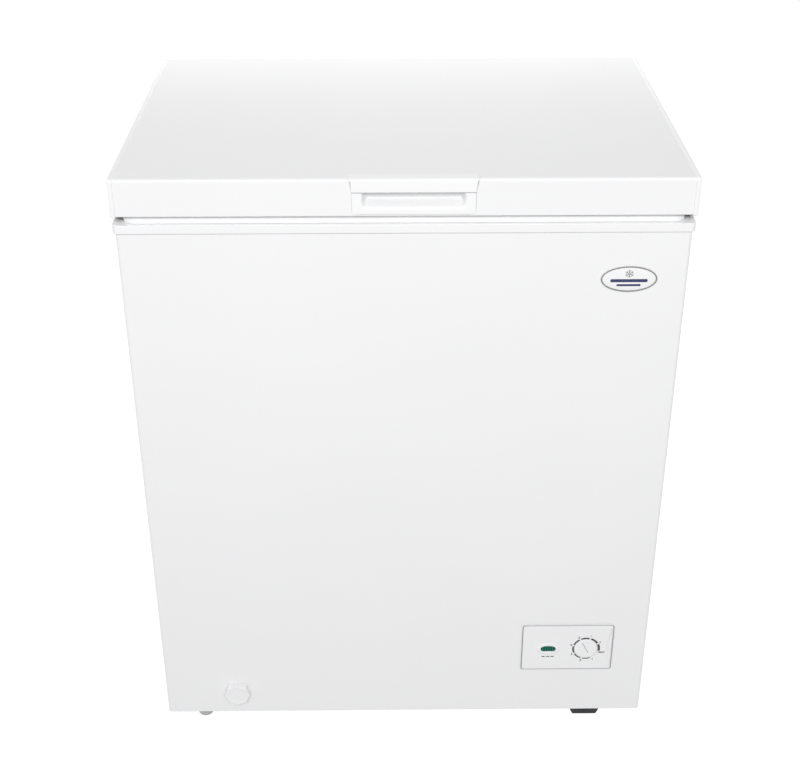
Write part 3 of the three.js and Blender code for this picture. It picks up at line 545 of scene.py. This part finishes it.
def turn_angles(steps):
    return [2 * math.pi * i / steps for i in range(steps)]


def turned(cx, cz, radius, y, steps):
    """A ring of points about a line that runs from front to back."""
    return [(cx + radius * math.cos(a), y, cz + radius * math.sin(a)) for a in turn_angles(steps)]


def sweep(solid, path, profile, closed=False, up=Vector((0, 0, 1))):
    """Carries a 2-D profile (out, up) along a path of 3-D points, mitred at its corners."""
    count = len(path)
    rings = []
    for i, point in enumerate(path):
        before = path[i - 1] if i or closed else path[i]
        after = path[(i + 1) % count] if i < count - 1 or closed else path[i]
        ahead = (Vector(after) - Vector(before)).normalized()
        side = ahead.cross(up)
        side = side.normalized() if side.length > 1e-6 else Vector((1, 0, 0))
        rise = side.cross(ahead).normalized()
        rings.append([Vector(point) + side * u + rise * v for u, v in profile])
    return solid.rings(rings, closed)


def bent_path(corners, reach, steps=5):
    """A path through corner points, each rounded by a curve that starts a reach before it."""
    corners = [Vector(c) for c in corners]
    path = [corners[0]]
    for before, corner, after in zip(corners, corners[1:], corners[2:]):
        a = corner + (before - corner).normalized() * reach
        b = corner + (after - corner).normalized() * reach
        for i in range(steps + 1):
            t = i / steps
            path.append(a * (1 - t) ** 2 + corner * 2 * t * (1 - t) + b * t * t)
    path.append(corners[-1])
    return path


def lines_between(low, high, step, extra=()):
    """Grid lines from low to high a step apart, closer at both ends, with extra lines."""
    fine = [0.0001, 0.0003, 0.0006, 0.001, 0.0015]
    ends = [low] + [low + f for f in fine] + [high - f for f in fine] + [high]
    count = max(1, round((high - low) / step))
    regular = [low + (high - low) * i / count for i in range(1, count)]
    kept = [v for v in regular if low + 0.0018 < v < high - 0.0018]
    return sorted(set(ends + kept + list(extra)))


def relief_piece(name, columns, rows, front, back, trim, body, look, replaced=()):
    """A closed shell between two height fields over x and z, whose sides follow trim(z)."""
    solid = Solid()
    wide = len(columns)
    surfaces = []
    for surface in (front, back):
        start = len(solid.verts)
        surfaces.append(start)
        for z in rows:
            inset = trim(z)
            middle, half = (columns[0] + columns[-1]) / 2, (columns[-1] - columns[0]) / 2
            for x in columns:
                x = middle + (x - middle) * (half - inset) / half
                solid.verts.append(Vector((x, surface(x, z), z)))
        for r in range(len(rows) - 1):
            for c in range(wide - 1):
                a = start + r * wide + c
                solid.faces.append((a, a + 1, a + wide + 1, a + wide))
    f, b = surfaces
    end = (len(rows) - 1) * wide
    for c in range(wide - 1):
        solid.faces.append((f + c, b + c, b + c + 1, f + c + 1))
        solid.faces.append((f + end + c, f + end + c + 1, b + end + c + 1, b + end + c))
    for r in range(len(rows) - 1):
        a = r * wide
        solid.faces.append((f + a, f + a + wide, b + a + wide, b + a))
        a += wide - 1
        solid.faces.append((f + a, b + a, b + a + wide, f + a + wide))
    return new_piece(name, solid.verts, solid.faces, body, look, replaced)


def ease(value, start, end):
    """0 before start, 1 after end, and a smooth rise between."""
    t = min(1, max(0, (value - start) / (end - start)))
    return t * t * (3 - 2 * t)


def round_over(distance, radius):
    """How far a quarter circle has dropped at a distance inwards from a straight edge."""
    if distance >= radius:
        return 0
    return radius - math.sqrt(max(0, radius**2 - (radius - distance) ** 2))


# ---- CAD nodes that keep their shape ---------------------------------------------------------
# The radius of each node's edges in mm, where it isn't PLAIN_EDGE. A 0 keeps them sharp.
PLAIN_EDGE = 0.35
EDGES = {
    "cabinet_shell": 0.5,
    "collar": 1.4,
    "lid_trim_left": 1.5,
    "lid_trim_right": 1.5,
    "inner_lid_panel": 1.5,
    "inner_liner": 0.5,
    "cabinet_foam": 0,
    "lid_foam": 0,
    "evaporator_coil": 0,
    "condenser_coil": 0,
    "suction_pipe": 0,
    "discharge_pipe": 0,
    "capillary_tube": 0,
    "back_panel": 0.2,
    "base_pan": 0.2,
    "rear_cover": 0,
    "vent_grille": 0,
    "compressor": 1.0,
    "black_foot_front": 1.2,
    "black_foot_rear": 1.2,
    "corner_buffer_left": 1.2,
    "corner_buffer_right": 1.2,
}
PIERCED = ("rear_cover", "back_panel", "vent_grille")


def dress_cad_nodes():
    for name, obj in frame["nodes"].items():
        look = LOOK[SLOT_OF[name]]
        if obj.data.materials:
            obj.data.materials[0] = look
        else:
            obj.data.materials.append(look)
        width = EDGES.get(name, PLAIN_EDGE)
        soften(obj, width * MM, 3 if width >= 1 else 2, dissolve=name not in PIERCED)


# ---- Lid handle ------------------------------------------------------------------------------
def draw_gap_shadow(name, outline, middle, width, y, body, look):
    """A painted shadow line round a part: a thin dark strip that stands for the shade in the narrow gap
    between it and the sheet that it sits on.
    """
    solid = Solid()
    rings = []
    for px, pz in outline:
        out = (Vector((px, pz)) - middle).normalized() * width
        ix, iz = px - out.x * 0.3, pz - out.y * 0.3
        ox, oz = px + out.x, pz + out.y
        rings.append([(ix, y, iz), (ox, y, oz), (ox, y + 0.1 * MM, oz), (ix, y + 0.1 * MM, iz)])
    solid.rings(rings, closed=True)
    new_piece(name, solid.verts, solid.faces, body, look, smooth=False)


def make_handle():
    """The finger scoop under the grip, and the grip that folds over the lid's front edge."""
    lo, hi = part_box("lid_handle")
    middle = (lo.x + hi.x) / 2
    half = 74.5 * MM
    lid_front = LID_LO.y
    plate_front, plate_back = lid_front - 1.8 * MM, lid_front - 0.3 * MM
    grip_bottom = LID_LO.z + 31.5 * MM
    scoop_half = 61 * MM
    scoop_low, scoop_top, depth = LID_LO.z + 9.5 * MM, LID_LO.z + 43.5 * MM, 13.5 * MM
    corner, fillet = 6 * MM, 1.2 * MM

    def scoop(x, z):
        across = 1 - ease(abs(x - middle), scoop_half - 4 * MM, scoop_half + 1.5 * MM)
        climb = ease(z, scoop_low, scoop_low + 11 * MM)
        roof = 1 - ease(z, scoop_top - 4 * MM, scoop_top)
        return across * climb * roof * depth

    def front(x, z):
        drop = round_over(min(half - abs(x - middle), z - lo.z), fillet)
        return plate_front + min(drop, plate_back - plate_front - 0.05 * MM) + scoop(x, z)

    def back(x, z):
        return max(plate_back, front(x, z) + 1.4 * MM)

    def trim(z):
        return round_over(z - lo.z, corner)

    columns = lines_between(middle - half, middle + half, 1.5 * MM)
    rows = lines_between(lo.z, scoop_top + 1 * MM, 0.9 * MM)
    relief_piece(
        "handle_scoop", columns, rows, front, back, trim, "lid", "handle_plastic", ["lid_handle"]
    )
    make_grip(middle, half, plate_front, grip_bottom)

    # Painted shadow: a pale grey line round the scoop plate and grip, standing for the shade in the gap
    # between them and the lid's steel.
    height = hi.z - 4 * MM - lo.z
    centre = Vector((middle, lo.z + height / 2))
    outline = rounded(*centre, 2 * half, height, corner, 6)
    draw_gap_shadow("handle_gap_shadow", outline, centre, 0.4 * MM, lid_front - 0.14 * MM, "lid", "pale_seam")
    # Painted shadow: short pale grey strips along the grip's bottom edge at both sides of the scoop,
    # standing for the shade under the grip.
    seam = Solid()
    for side in (-1, 1):
        x = middle + side * (half + scoop_half + 1 * MM) / 2
        width = half - scoop_half - 1.6 * MM
        line = rounded(x, grip_bottom - 0.6 * MM, width, 2.0 * MM, 0.2 * MM, 2)
        seam.prism(line, facing_front, plate_front + 0.1 * MM, plate_front - 0.1 * MM)
    new_piece("handle_grip_shadow", seam.verts, seam.faces, "lid", "pale_seam", smooth=False)


def make_grip(middle, half, plate_front, grip_bottom):
    """The grip above the scoop: a face, a rounded brow, and a flange that flares on the lid's top."""
    lo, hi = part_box("lid_handle")
    face, top, tail = lo.y, hi.z, LID_LO.y + 13 * MM
    under = LID_HI.z + 0.3 * MM
    brow = 3.2 * MM
    section = [(plate_front + 0.2 * MM, grip_bottom)]
    section += arc_points(face + 1 * MM, grip_bottom + 1 * MM, 1 * MM, -90, -180, 3)
    section += arc_points(face + brow, top - brow, brow, 180, 90, 7)
    section += [(tail - 0.6 * MM, top), (tail, top - 0.5 * MM), (tail, under)]
    section += [(plate_front + 0.2 * MM, under)]
    solid = Solid()
    count = 40
    rings = []
    for i in range(count + 1):
        x = -half + 2 * half * i / count
        ring = []
        for y, z in section:
            flare = 3 * MM * ease(z, top - 4.5 * MM, top - 1 * MM) * x / half
            inset = 0.5 * MM if i in (0, count) else 0
            drop = 0.4 * inset if z > top - 1 * MM else 0
            ring.append((middle + x + flare, y + inset, z - drop))
        rings.append(ring)
    solid.rings(rings)
    grip = new_piece("handle_grip", solid.verts, solid.faces, "lid", "handle_plastic")
    soften(grip, 0.4 * MM, 3, 40)


def make_lid_seams():
    """The beads between the lid's steel and its two end trims, just below both surfaces."""
    (front, low), (back, high) = (LID_LO.y, LID_LO.z), (LID_HI.y, LID_HI.z)
    inset, bend = 0.14 * MM, 3.8 * MM
    outline = [(front + inset, low + 1 * MM)]
    outline += arc_points(front + bend, high - bend, bend - inset, 180, 90, 6)
    outline += arc_points(back - bend, high - bend, bend - inset, 90, 0, 6)
    outline += [(back - inset, low + 1 * MM)]
    for name, x in (("left", LID_LO.x), ("right", LID_HI.x)):
        bead = Solid().prism(outline, facing_right, x - 0.5 * MM, x + 0.6 * MM)
        new_piece(f"lid_seam_{name}", bead.verts, bead.faces, "lid", "white_plastic", smooth=False)


# ---- Control panel ---------------------------------------------------------------------------
def panel_places():
    """The middles of the dial and the lamp."""
    lo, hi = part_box("thermostat_dial")
    lamp_lo, lamp_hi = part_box("indicator_lens")
    return (lo + hi) / 2, (lamp_lo + lamp_hi) / 2


def make_control_panel():
    """The plate with its bowed right end and the raised rim round the lamp, and the box behind it."""
    lo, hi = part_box("control_panel")
    dial, lamp = panel_places()
    base = FRONT - 0.3 * MM
    face = lo.y
    corner, fillet = 3 * MM, 1.3 * MM

    def front(x, z):
        y = face + round_over(min(x - lo.x, hi.x - x, z - lo.z, hi.z - z), fillet)
        tall = (z - (lo.z + hi.z) / 2) / ((hi.z - lo.z) / 2)
        bow = hi.x - 1.2 * MM - 6.8 * MM * (1 - tall * tall)
        y += 1.5 * MM * ease(x, bow - 0.5 * MM, bow + 3.4 * MM)
        y += 0.9 * MM * ease(lo.x + 4.2 * MM - x, 0, 3.4 * MM)
        ring = math.hypot((x - lamp.x) / 17, (z - lamp.z) / 10) / MM
        y -= 0.9 * MM * (ease(ring, 0.45, 0.66) - ease(ring, 0.92, 1.0))
        return min(y, base - 0.2 * MM)

    def trim(z):
        return round_over(min(z - lo.z, hi.z - z), corner)

    def flat_back(x, z):
        return base

    columns = lines_between(lo.x, hi.x, 1.0 * MM)
    rows = lines_between(lo.z, hi.z, 1.0 * MM)
    replaced = ["control_panel"]
    panel = relief_piece(
        "panel_face", columns, rows, front, flat_back, trim, "cabinet", "white_plastic", replaced
    )
    hole = Solid().prism(disc(dial.x, dial.z, 17.5 * MM), facing_front, face - 5 * MM, FRONT + 5 * MM)
    slot = rounded(lamp.x, lamp.z, 22 * MM, 9.5 * MM, 4.7 * MM)
    window = Solid().prism(slot, facing_front, face - 5 * MM, FRONT + 5 * MM)
    carve(panel, (hole.verts, hole.faces), (window.verts, window.faces))

    # Painted shadow: a dark grey line round the plate, standing for the shade in the gap at its edge.
    centre = Vector(((lo.x + hi.x) / 2, (lo.z + hi.z) / 2))
    rim = rounded(centre.x, centre.y, hi.x - lo.x, hi.z - lo.z, corner, 6)
    draw_gap_shadow("panel_gap_shadow", rim, centre, 0.85 * MM, face + 0.45 * MM, "cabinet", "dark_seam")

    walls = Solid()
    width, height = hi.x - lo.x, hi.z - lo.z
    outer = rounded(*centre, width - 12 * MM, height - 12 * MM, 2 * MM)
    inner = rounded(*centre, width - 16 * MM, height - 16 * MM, 1 * MM)
    near, far = FRONT - 0.2 * MM, hi.y
    corners = ((outer, near), (outer, far), (inner, far), (inner, near))
    walls.rings([[(x, y, z) for x, z in outline] for outline, y in corners], closed=True)
    new_piece("panel_box", walls.verts, walls.faces, "cabinet", "white_plastic", smooth=False)


def make_dial():
    """A flush disc with a crowned rim and a narrow slot from its rim to just past its middle."""
    lo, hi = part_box("thermostat_dial")
    centre, _ = panel_places()
    radius = (hi.x - lo.x) / 2
    front = lo.y
    profile = [(radius - 3 * MM, front), (radius - 1.2 * MM, front + 0.15 * MM)]
    profile += [(radius - 0.35 * MM, front + 0.6 * MM), (radius, front + 1.3 * MM)]
    profile += [(radius, hi.y), (3.4 * MM, hi.y), (3.4 * MM, front + 1.9 * MM)]
    steps = 96
    solid = Solid().rings([turned(centre.x, centre.z, r, y, steps) for r, y in profile])
    dial = new_piece("dial", solid.verts, solid.faces, "dial", "white_plastic", ["thermostat_dial"])
    groove = rounded(-1.9 * MM, 0, 20.6 * MM, 0.9 * MM, 0.4 * MM)
    slot = Solid().prism(groove, facing_front, -1 * MM, 0.9 * MM)
    turn = Matrix.Rotation(math.radians(62), 4, "Y")
    place = Matrix.Translation((centre.x, front, centre.z)) @ turn
    carve(dial, ([place @ v for v in slot.verts], slot.faces))
    soften(dial, 0.12 * MM)
    # Painted shadow: a dark grey strip on the slot's floor, standing for the shade in the slot.
    bottom = rounded(-1.9 * MM, 0, 20 * MM, 0.7 * MM, 0.3 * MM)
    line = Solid().prism(bottom, facing_front, 0.8 * MM, 0.6 * MM)
    verts = [place @ v for v in line.verts]
    new_piece("dial_slot_shadow", verts, line.faces, "dial", "seam", smooth=False)


def make_lens_piece():
    """The lens in its flange, with a rim that rounds off to a slightly crowned face."""
    lo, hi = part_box("indicator_lens")
    cx, cz = (lo.x + hi.x) / 2, (lo.z + hi.z) / 2
    solid = Solid()
    flange = rounded(cx, cz, 25 * MM, 12.5 * MM, 6 * MM)
    solid.prism(flange, facing_front, FRONT + 2 * MM, FRONT - 0.1 * MM)
    levels = [(0, 0.6), (0.25, 0.1), (0.7, -0.25), (1.3, -0.4), (2.2, -0.5)]
    rings = []
    for inset, y in [(0, 2.4)] + levels:
        outline = rounded(cx, cz, (21 - 2 * inset) * MM, (8.5 - 2 * inset) * MM, (4.1 - inset) * MM, 8)
        rings.append([(x, lo.y + 0.5 * MM + y * MM, z) for x, z in outline])
    solid.rings(rings)
    new_piece("lamp_lens", solid.verts, solid.faces, "cabinet", "lamp_lens", ["indicator_lens"])


PRINT = 0.06 * MM  # thickness of a printed mark


def flat_shape(solid, outline, y):
    solid.prism(outline, facing_front, y, y - PRINT)


def ring_arc(cx, cz, radius, start, end, width, steps):
    """An arc band's outline, whose width goes from width[0] to width[1]."""
    outer, inner = [], []
    for i in range(steps + 1):
        t = i / steps
        angle = math.radians(start + (end - start) * t)
        w = width[0] + (width[1] - width[0]) * t
        outer.append((cx + (radius + w) * math.cos(angle), cz + (radius + w) * math.sin(angle)))
        inner.append((cx + radius * math.cos(angle), cz + radius * math.sin(angle)))
    return outer + inner[::-1]


def band(solid, outline, y):
    """A thin printed band given as an outer line and an inner line run back."""
    half = len(outline) // 2
    outer, inner = outline[:half], outline[half:][::-1]
    rings = []
    for (ox, oz), (ix, iz) in zip(outer, inner):
        rings.append([(ox, y, oz), (ox, y - PRINT, oz), (ix, y - PRINT, iz), (ix, y, iz)])
    solid.rings(rings)


def printed_text(name, text, size, x, y, z, body):
    curve = bpy.data.curves.new(name, "FONT")
    curve.body = text
    curve.size = size
    curve.align_x, curve.align_y = "CENTER", "CENTER"
    curve.extrude = 0.03 * MM
    curve.offset = 0.15 * MM
    source = bpy.data.objects.new("text", curve)
    bpy.context.scene.collection.objects.link(source)
    bpy.context.view_layer.update()
    graph = bpy.context.evaluated_depsgraph_get()
    mesh = bpy.data.meshes.new_from_object(source.evaluated_get(graph))
    bpy.data.objects.remove(source)
    mesh.transform(Matrix.Translation((x, y, z)) @ Matrix.Rotation(math.pi / 2, 4, "X"))
    mesh.materials.clear()
    mesh.materials.append(PRINT_AND_SHADOW_INK["black"])
    obj = bpy.data.objects.new(name, mesh)
    bpy.context.scene.collection.objects.link(obj)
    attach(obj, body)


def make_dial_print():
    """Numbers round the dial, and a ring that thickens from 1 to MAX."""
    lo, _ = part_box("control_panel")
    dial, lamp = panel_places()
    y = lo.y - 0.01 * MM
    solid = Solid()
    first, step = -62, -45  # degrees of the 1, and from each number to the next
    for i in range(7):
        start = first + step * i - 4
        width = [(1.45 + 0.22 * k) * MM for k in (i, i + 1)]
        band(solid, ring_arc(dial.x, dial.z, 17.7 * MM, start, start + step + 8, width, 12), y)
    new_piece("dial_ring_print", solid.verts, solid.faces, "cabinet", "black", smooth=False)
    for i, text in enumerate("1234567"):
        angle = math.radians(first + step * i)
        x, z = dial.x + 22.6 * MM * math.cos(angle), dial.z + 22.6 * MM * math.sin(angle)
        printed_text(f"dial_number_{text}", text, 5.2 * MM, x, y, z, "cabinet")
    angle = math.radians(first + step * 7)
    x, z = dial.x + 24.4 * MM * math.cos(angle), dial.z + 24.4 * MM * math.sin(angle)
    printed_text("dial_number_max", "MAX", 4.2 * MM, x, y, z, "cabinet")

    mark = Solid()
    for i in range(3):
        x = lamp.x + (i - 1) * 6.4 * MM
        flat_shape(mark, rounded(x, lamp.z - 14.4 * MM, 4.8 * MM, 1.5 * MM, 0.7 * MM, 3), y)
    new_piece("lamp_mark_print", mark.verts, mark.faces, "cabinet", "black", smooth=False)


# ---- Badge -----------------------------------------------------------------------------------
def make_badge():
    """A plain oval plate with a thin ring, a snowflake and two bars."""
    lo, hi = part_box("badge_plate")
    cx, cz = (lo.x + hi.x) / 2, (lo.z + hi.z) / 2
    a, b = 35.5 * MM, 18 * MM

    def oval(shrink):
        wide, tall = a - shrink, b - shrink
        return [(cx + wide * math.cos(t), cz + tall * math.sin(t)) for t in turn_angles(96)]

    plate = Solid().prism(oval(0), facing_front, hi.y, lo.y, 0.4 * MM)
    new_piece("badge_oval", plate.verts, plate.faces, "cabinet", "white_plastic", ["badge_plate"])
    y = lo.y - 0.01 * MM
    ring = Solid()
    rings = []
    for (ox, oz), (ix, iz) in zip(oval(0.6 * MM), oval(2.5 * MM)):
        rings.append([(ox, y, oz), (ox, y - 0.12 * MM, oz), (ix, y - 0.12 * MM, iz), (ix, y, iz)])
    ring.rings(rings, closed=True)
    new_piece("badge_ring", ring.verts, ring.faces, "cabinet", "grey")
    flake = Solid()
    fz = cz + 7.2 * MM
    for i in range(6):
        turn = Matrix.Rotation(math.radians(30 + 60 * i), 2)
        bars = [[(0.4, -0.5), (5.4, -0.5), (5.4, 0.5), (0.4, 0.5)]]
        for side in (1, -1):
            bars.append([(2.6, 0), (3.4, 0), (4.9, side * 1.9), (4.1, side * 1.9)])
        for depth, bar in enumerate(bars):
            points = [turn @ Vector(p) * MM + Vector((cx, fz)) for p in bar]
            flat_shape(flake, points, y - depth * 0.01 * MM)
    new_piece("badge_snowflake", flake.verts, flake.faces, "cabinet", "grey", smooth=False)
    bars = Solid()
    for z, width, height in ((-2.2, 46, 4.2), (-8.3, 30, 2.8)):
        flat_shape(bars, rounded(cx, cz + z * MM, width * MM, height * MM, 1.3 * MM, 4), y)
    new_piece("badge_bars", bars.verts, bars.faces, "cabinet", "navy", smooth=False)


# ---- Drain knob and feet ---------------------------------------------------------------------
def make_drain_knob():
    """A cap with eight finger scallops, a slightly hollow face and a stem."""
    lo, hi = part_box("drain_knob")
    cx, cz = (lo.x + hi.x) / 2, (lo.z + hi.z) / 2
    radius = (hi.x - lo.x) / 2
    points, steps, hollow = 8, 12, 1.9 * MM
    outline = []
    for i in range(points * steps):
        across = (i % steps) / steps
        tip = abs(2 * across - 1)
        r = radius - hollow * (1 - tip**1.6) - 0.25 * MM * ease(tip, 0.8, 1)
        outline.append((r, 2 * math.pi * i / (points * steps)))
    levels = [(1.0, FRONT - 0.05 * MM), (1.0, FRONT - 0.4 * MM), (1.0, lo.y + 1.5 * MM)]
    levels += [(0.985, lo.y + 0.7 * MM), (0.955, lo.y + 0.2 * MM), (0.91, lo.y)]
    levels += [(0.86, lo.y + 0.12 * MM), (0.45, lo.y + 0.9 * MM)]
    rings = []
    for scale, y in levels:
        spread = [(r * scale, t) for r, t in outline]
        rings.append([(cx + r * math.cos(t), y, cz + r * math.sin(t)) for r, t in spread])
    solid = Solid().rings(rings)
    stem = disc(cx, cz, 6.6 * MM, 32)
    solid.prism(stem, facing_front, hi.y, FRONT - 0.1 * MM)
    knob = new_piece("drain_cap", solid.verts, solid.faces, "drain_cap", "white_plastic", ["drain_knob"])
    soften(knob, 0.25 * MM)


def make_levelling_foot(node, body):
    """A ribbed wheel with a domed pad under it and a threaded stud."""
    lo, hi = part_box(node)
    cx, cy = (lo.x + hi.x) / 2, (lo.y + hi.y) / 2
    ribs, steps = 20, 8
    rings = []
    # Each level has a radius, a height above the ground and the ribs' depth, in mm.
    levels = [(9.6, 0, 0), (10.4, 0.5, 0), (10.6, 2.0, 0), (11.3, 2.4, 0.6), (11.9, 3.2, 1.2)]
    levels += [(11.9, 11.8, 1.2), (11.3, 12.7, 0.8), (9.8, 13.0, 0)]
    for radius, z, rib in levels:
        ring = []
        for i in range(ribs * steps):
            angle = 2 * math.pi * i / (ribs * steps)
            r = (radius + rib * 0.5 * (math.cos(ribs * angle) - 1)) * MM
            ring.append((cx + r * math.cos(angle), cy + r * math.sin(angle), lo.z + z * MM))
        rings.append(ring)
    solid = Solid().rings(rings)
    pitch, root, depth = 1.25 * MM, 3.65 * MM, 0.32 * MM
    start = lo.z + 12 * MM
    stud = []
    for k in range(int((hi.z - start) / (pitch / 4))):
        z = start + k * pitch / 4
        ring = []
        for angle in turn_angles(20):
            phase = 2 * math.pi * (z - lo.z) / pitch - angle
            r = root + depth * math.cos(phase)
            ring.append((cx + r * math.cos(angle), cy + r * math.sin(angle), z))
        stud.append(ring)
    solid.rings(stud)
    new_piece(node + "_body", solid.verts, solid.faces, body, "grey_plastic", [node])


# ---- Gasket ----------------------------------------------------------------------------------
def make_gasket():
    """A magnetic seal: a barb strip under the lid, a bellows, and the flat magnet bulb below."""
    lo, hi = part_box("lid_gasket")
    top, bottom = hi.z, lo.z
    inner = 17 * MM
    tall = top - bottom
    # The section's points, in mm inwards from the outer edge and up from the bottom.
    bulb = [(0.5, 0.0), (13.5, 0.0), (14.0, 0.9), (14.0, 4.4), (13.3, 5.0)]
    inner_fold = [(10.2, 5.3), (9.2, 6.0), (10.2, 6.8)]
    barb = [(15.6, 7.6), (16.6, 8.6), (16.8, 11.6), (16.2, 12.8), (0.9, 12.8), (0.2, 11.9), (0.2, 10.2)]
    outer_fold = [(1.0, 9.4), (4.6, 8.4), (5.4, 7.4), (4.4, 6.6), (1.0, 5.6)]
    section = bulb + inner_fold + barb + outer_fold + [(0.1, 4.6), (0.1, 0.7)]
    width, depth = hi.x - lo.x, hi.y - lo.y
    cx, cy = (lo.x + hi.x) / 2, (lo.y + hi.y) / 2
    rings = []
    for u, v in section:
        inset = min(u * MM, inner)
        outline = rounded(cx, cy, width - 2 * inset, depth - 2 * inset, 14 * MM - inset * 0.4, 8)
        z = bottom + min(v * MM, tall)
        rings.append([(x, y, z) for x, y in outline])
    solid = Solid().rings(rings, closed=True)
    seal = new_piece("lid_seal", solid.verts, solid.faces, "lid", "gasket_rubber", ["lid_gasket"])
    soften(seal, 0.25 * MM, 2, 50)


# ---- Hinge springs and basket ----------------------------------------------------------------
def circle_profile(radius, sides):
    return [(radius * math.cos(a), radius * math.sin(a)) for a in turn_angles(sides)]


def make_spring(side):
    """A wire coil with a closed turn at each end, baked in place on no body."""
    lo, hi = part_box(f"hinge_spring_{side}")
    cx, cy = (lo.x + hi.x) / 2, (lo.y + hi.y) / 2
    wire, radius = 0.9 * MM, 6.4 * MM
    turns, per = 13, 20
    low, high = lo.z + wire, hi.z - wire
    path = []
    for i in range(turns * per + 1):
        t = i / (turns * per)
        angle = 2 * math.pi * i / per
        rise = min(1, max(0, (t * turns - 1) / (turns - 2)))
        closed_turn = wire * 1.9
        z = low + closed_turn * min(1, t * turns) + rise * (high - low - 2 * closed_turn)
        z += closed_turn * max(0, t * turns - turns + 1)
        path.append(Vector((cx + radius * math.cos(angle), cy + radius * math.sin(angle), z)))
    solid = Solid()
    sweep(solid, path, circle_profile(wire, 8))
    replaced = [f"hinge_spring_{side}"]
    spring = new_piece(f"spring_{side}", solid.verts, solid.faces, "cabinet", "steel", replaced)
    spring.parent = None
    del spring["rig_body"]
    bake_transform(spring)


def make_basket():
    """Round wires on the CAD basket's lines: cross wires, long wires under them, hoops and hooks."""
    lo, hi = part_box("basket")
    rod, wire = 2.5 * MM, 1.7 * MM
    left, right = lo.x + 2 * MM, hi.x - 2 * MM
    shell_front, shell_back = lo.y + 16 * MM, hi.y - 16 * MM
    rim = hi.z - rod - 0.2 * MM
    floor = lo.z + 4.6 * MM
    solid = Solid()
    thin, thick = circle_profile(wire, 10), circle_profile(rod, 12)
    across, along = 9, 5
    for i in range(across):
        y = shell_front + 14 * MM + (shell_back - shell_front - 28 * MM) * i / (across - 1)
        path = [
            (left, y, rim),
            (left + 12 * MM, y, floor),
            (right - 12 * MM, y, floor),
            (right, y, rim),
        ]
        sweep(solid, bent_path(path, 14 * MM), thin, up=Vector((0, 1, 0)))
    under = floor - 1.5 * wire
    for i in range(along):
        x = left + 24 * MM + (right - left - 48 * MM) * i / (along - 1)
        path = [
            (x, shell_front, rim),
            (x, shell_front + 12 * MM, under),
            (x, shell_back - 12 * MM, under),
            (x, shell_back, rim),
        ]
        sweep(solid, bent_path(path, 15 * MM), thin, up=Vector((1, 0, 0)))
    hoops = [(rim, 0, thick), (rim - 58 * MM, 4.6 * MM, thin), (rim - 116 * MM, 8.7 * MM, thin)]
    for z, inset, profile in hoops:
        width, depth = right - left - 2 * inset, shell_back - shell_front - 2 * inset
        hoop = rounded((left + right) / 2, (shell_front + shell_back) / 2, width, depth, 12 * MM, 8)
        sweep(solid, [(x, y, z) for x, y in hoop], profile, closed=True)
    for x in (left + 31 * MM, right - 33 * MM):
        for y0, y1 in ((lo.y + 0.4 * MM, shell_front), (shell_back, hi.y - 0.4 * MM)):
            sweep(solid, [(x, y0, rim), (x, (y0 + y1) / 2, rim), (x, y1, rim)], thick)
    new_piece("wire_basket", solid.verts, solid.faces, "basket", "basket_wire", ["basket"])


# ---- Screws ----------------------------------------------------------------------------------
def screw_on_back(name, x, z, y, body):
    """A cross-head pan screw on a face that looks backwards, with its head proud of y."""
    radius, steps = 3.6 * MM, 28
    head = [(1, 0), (1, 0.5), (0.94, 1.1), (0.75, 1.7), (0.45, 2.1)]
    solid = Solid()
    solid.rings([turned(x, z, radius * share, y + out * MM, steps) for share, out in head])
    screw = new_piece(name, solid.verts, solid.faces, body, "steel")
    long, wide = 1.9 * MM, 0.35 * MM
    cross = [(-long, -wide), (long, -wide), (long, wide), (-long, wide)]
    for turn in (0, math.pi / 2):
        slot = Solid().prism(cross, facing_front, y + 1.0 * MM, y + 4 * MM)
        move = Matrix.Translation((x, 0, z)) @ Matrix.Rotation(turn, 4, "Y")
        carve(screw, ([move @ v for v in slot.verts], slot.faces))


def make_screws():
    """The screws of the hinges' channels and leaves, and of the rear cover."""
    for side in ("left", "right"):
        lo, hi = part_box(f"hinge_channel_{side}")
        middle = (lo.x + hi.x) / 2
        for k, (dx, dz) in enumerate(((-21, 14), (21, 14), (-21, 80), (21, 80))):
            name, x, z = f"channel_screw_{side}_{k + 1}", middle + dx * MM, lo.z + dz * MM
            screw_on_back(name, x, z, lo.y + 1.5 * MM, "cabinet")
        lo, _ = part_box(f"hinge_leaf_{side}")
        for k, (dx, dz) in enumerate(((-22, 12), (22, 12), (-22, 28), (22, 28))):
            name, x, z = f"leaf_screw_{side}_{k + 1}", middle + dx * MM, LID_LO.z + dz * MM
            screw_on_back(name, x, z, lo.y + 1.7 * MM, "lid")
    lo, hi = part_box("rear_cover")
    inset = 9 * MM
    corners = [(x, z) for x in (lo.x + inset, hi.x - inset) for z in (lo.z + inset, hi.z - inset)]
    for k, (x, z) in enumerate(corners):
        screw_on_back(f"cover_screw_{k + 1}", x, z, hi.y, "cabinet")


# ---- Assembly --------------------------------------------------------------------------------
make_camera()
make_studio()
make_floor()
dress_cad_nodes()
make_handle()
make_lid_seams()
make_control_panel()
make_dial()
make_lens_piece()
make_dial_print()
make_badge()
make_drain_knob()
make_levelling_foot("levelling_foot_front", "foot_front")
make_levelling_foot("levelling_foot_rear", "foot_rear")
make_gasket()
make_spring("left")
make_spring("right")
make_basket()
make_screws()
